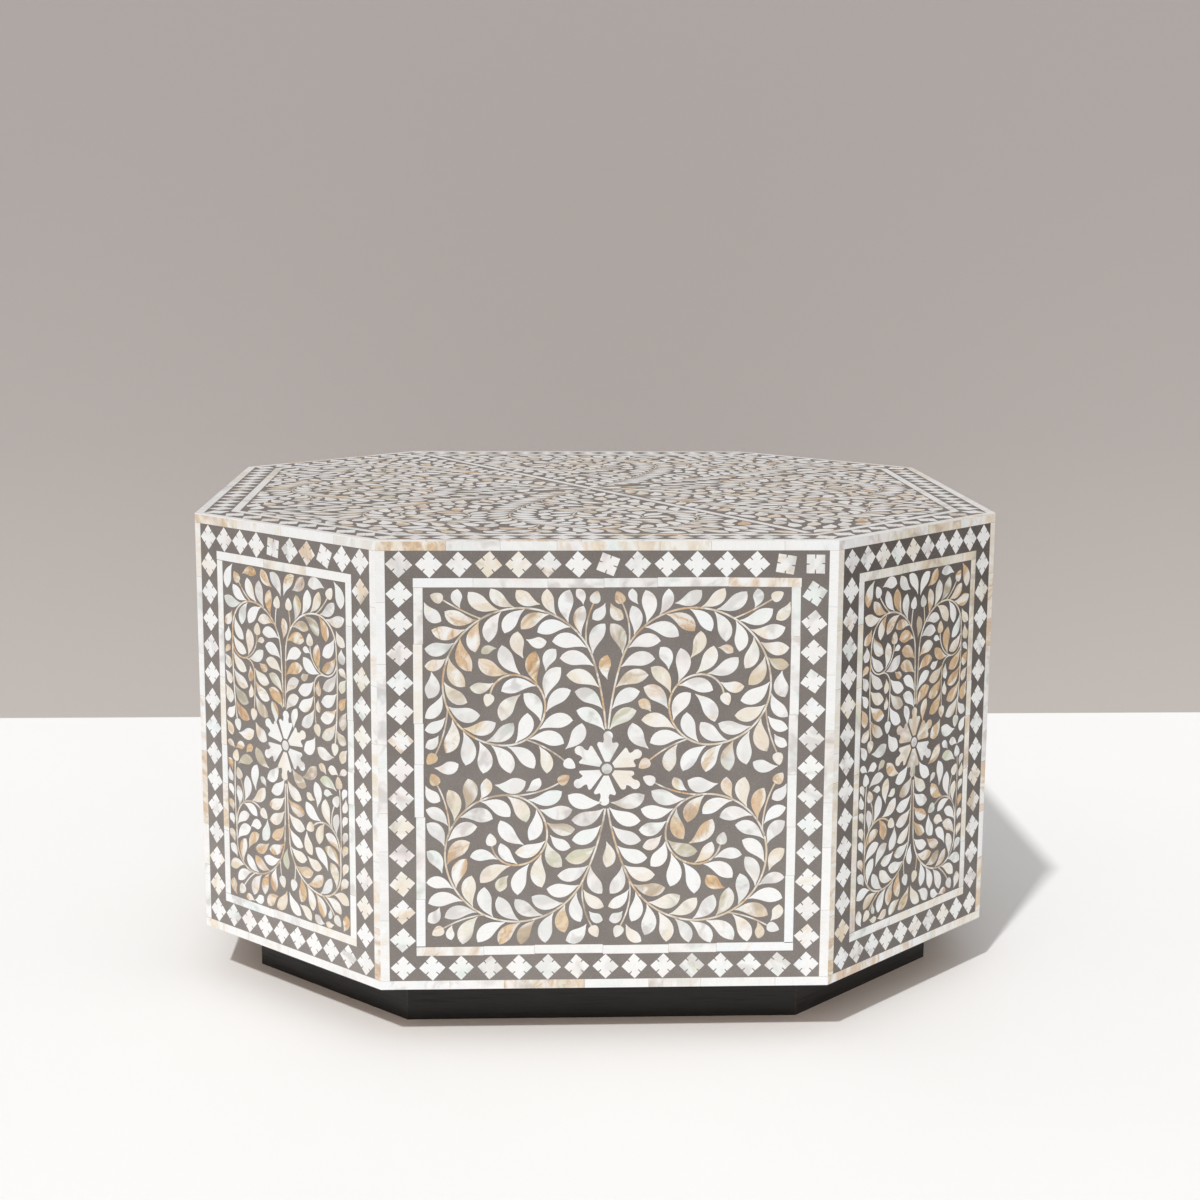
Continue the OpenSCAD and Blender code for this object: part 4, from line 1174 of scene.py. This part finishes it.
def lay_resin():
    """The resin fills the room between the pearl pieces, a hair below their polish."""
    for i, name in enumerate(FACES):
        rings = []
        for depth, low, high, half in (
                (SKIN_T, PLINTH_H, GROUND_TOP, half_at(i, SKIN_T)),
                (PEARL_T, PLINTH_H, GROUND_TOP, half_at(i, PEARL_T)),
                (PEARL_T, PLINTH_H, PEARL_TOP - 0.05, half_at(i, PEARL_T)),
                (RESIN_LOW, PLINTH_H + 0.05, PEARL_TOP - 0.05, half_at(i, RESIN_LOW) - 0.05)):
            corners = np.array([[-half, low], [half, low], [half, high], [-half, high]])
            flat = turned(np.column_stack([corners[:, 0], np.full(4, depth - face_away(i))]), 45 * i)
            rings.append(np.column_stack([flat, corners[:, 1]]))
        slab(name, rings, f"ground_{name}")
    rings = []
    for height, depth in ((GROUND_TOP, PEARL_T), (PEARL_TOP, PEARL_T), (TABLE_H - RESIN_LOW, PEARL_T)):
        ring = [turned(np.array([half_at(i, depth), depth - face_away(i)]), 45 * i) for i in range(8)]
        rings.append(np.column_stack([np.array(ring), np.full(8, height)]))
    slab("top", rings, "top_ground")


# Stage, light and camera

def screen(name, points, paint):
    """A flat piece of the stage that is seen from its front only."""
    material, w, shader = paint
    clear = w.node("ShaderNodeBsdfTransparent").outputs[0]
    w.feed(w.tree.nodes["Material Output"], "Surface",
           w.mix_shaders(w.surface()["Backfacing"], shader.outputs[0], clear))
    piece = new_piece(name, points, [range(len(points))], material)
    return piece


FLOOR_R = 1.6
WALL_Y = 0.88
WALL_HALF = 9
WALL_H = 5
WALL_COLOUR = srgb(176, 168, 164)


def set_stage():
    floor_paint = new_material("pale_floor")
    w, shader = floor_paint[1:]
    cloud = w.noise(w.place(), 3.0, 3.0, 0.5)
    w.feed(shader, "Base Color", w.mix(cloud, srgb(250, 249, 247), srgb(253, 252, 251)))
    w.feed(shader, "Roughness", 0.8)
    around = [math.radians(a) for a in range(0, 360, 3)]
    screen("floor", [(FLOOR_R * math.cos(a), FLOOR_R * math.sin(a), 0) for a in around], floor_paint)

    wall_paint = new_material("taupe_wall")
    w, shader = wall_paint[1:]
    # Painted light: the taupe wall is painted lighter towards the floor, in place of light thrown up from the
    # floor
    w.feed(shader, "Base Color", w.ramp(w.span(w.parts(w.place())["Z"], 0.0, 0.9), (
        (0.0, srgb(188, 181, 176)), (0.45, srgb(181, 173, 169)), (1.0, srgb(178, 170, 166)))))
    w.feed(shader, "Roughness", 0.9)
    corners = ((-1, 0), (1, 0), (1, 1), (-1, 1))
    wall = screen("wall", [(WALL_HALF * x, WALL_Y, WALL_H * z) for x, z in corners], wall_paint)
    for kind in ("diffuse", "glossy", "transmission", "volume_scatter", "shadow"):
        setattr(wall, f"visible_{kind}", False)


SKY = 0.575
SUN = 1.79
SUN_WAY = (0.355, 0.68, -1.0)


def set_light():
    world = bpy.data.worlds.new("studio")
    world.use_nodes = True
    world.node_tree.nodes.clear()
    w = Wiring(world.node_tree)
    path = w.node("ShaderNodeLightPath").outputs
    seen = w.math("MAXIMUM", w.math("MAXIMUM", path["Is Camera Ray"], path["Is Glossy Ray"]),
                  path["Is Transmission Ray"])
    soft = w.node("ShaderNodeBackground", Color=(1.0, 1.0, 1.0, 1.0), Strength=SKY).outputs[0]
    backdrop = w.node("ShaderNodeBackground", Color=WALL_COLOUR, Strength=1.0).outputs[0]
    w.node("ShaderNodeOutputWorld", Surface=w.mix_shaders(seen, soft, backdrop))
    bpy.context.scene.world = world
    sun = bpy.data.lights.new("sun", "SUN")
    sun.energy = SUN
    sun.angle = math.radians(2.5)
    lamp = bpy.data.objects.new("sun", sun)
    lamp.rotation_mode = "QUATERNION"
    lamp.rotation_quaternion = Vector(SUN_WAY).to_track_quat("-Z", "Y")
    bpy.context.scene.collection.objects.link(lamp)


# The eye's place in metres, and how far it looks down, turns and tilts in degrees
EYE = (-0.0876, -2.084, 0.7008)
EYE_TURNS = (10.0, 2.71, 0.35)


def set_camera():
    pitch, yaw, roll = (math.radians(a) for a in EYE_TURNS)
    ahead = Vector((math.sin(yaw) * math.cos(pitch), math.cos(yaw) * math.cos(pitch), -math.sin(pitch)))
    level = Vector((math.cos(yaw), -math.sin(yaw), 0))
    over = level.cross(ahead)
    right = math.cos(roll) * level + math.sin(roll) * over
    up = -math.sin(roll) * level + math.cos(roll) * over
    camera = bpy.data.cameras.new("camera")
    camera.sensor_width = 36.0
    camera.lens = 60.15
    eye = bpy.data.objects.new("camera", camera)
    eye.matrix_world = Matrix([(right[k], up[k], -ahead[k], EYE[k]) for k in range(3)] + [(0, 0, 0, 1)])
    bpy.context.scene.collection.objects.link(eye)
    bpy.context.scene.camera = eye


set_camera()
set_stage()
set_light()
finish_kept_nodes()
lay_resin()
for face in range(8):
    side_border(face)
top_border()
lay_side_inlay()
lay_top_inlay()

bpy.context.scene.view_settings.view_transform = "Standard"
bpy.context.view_layer.update()
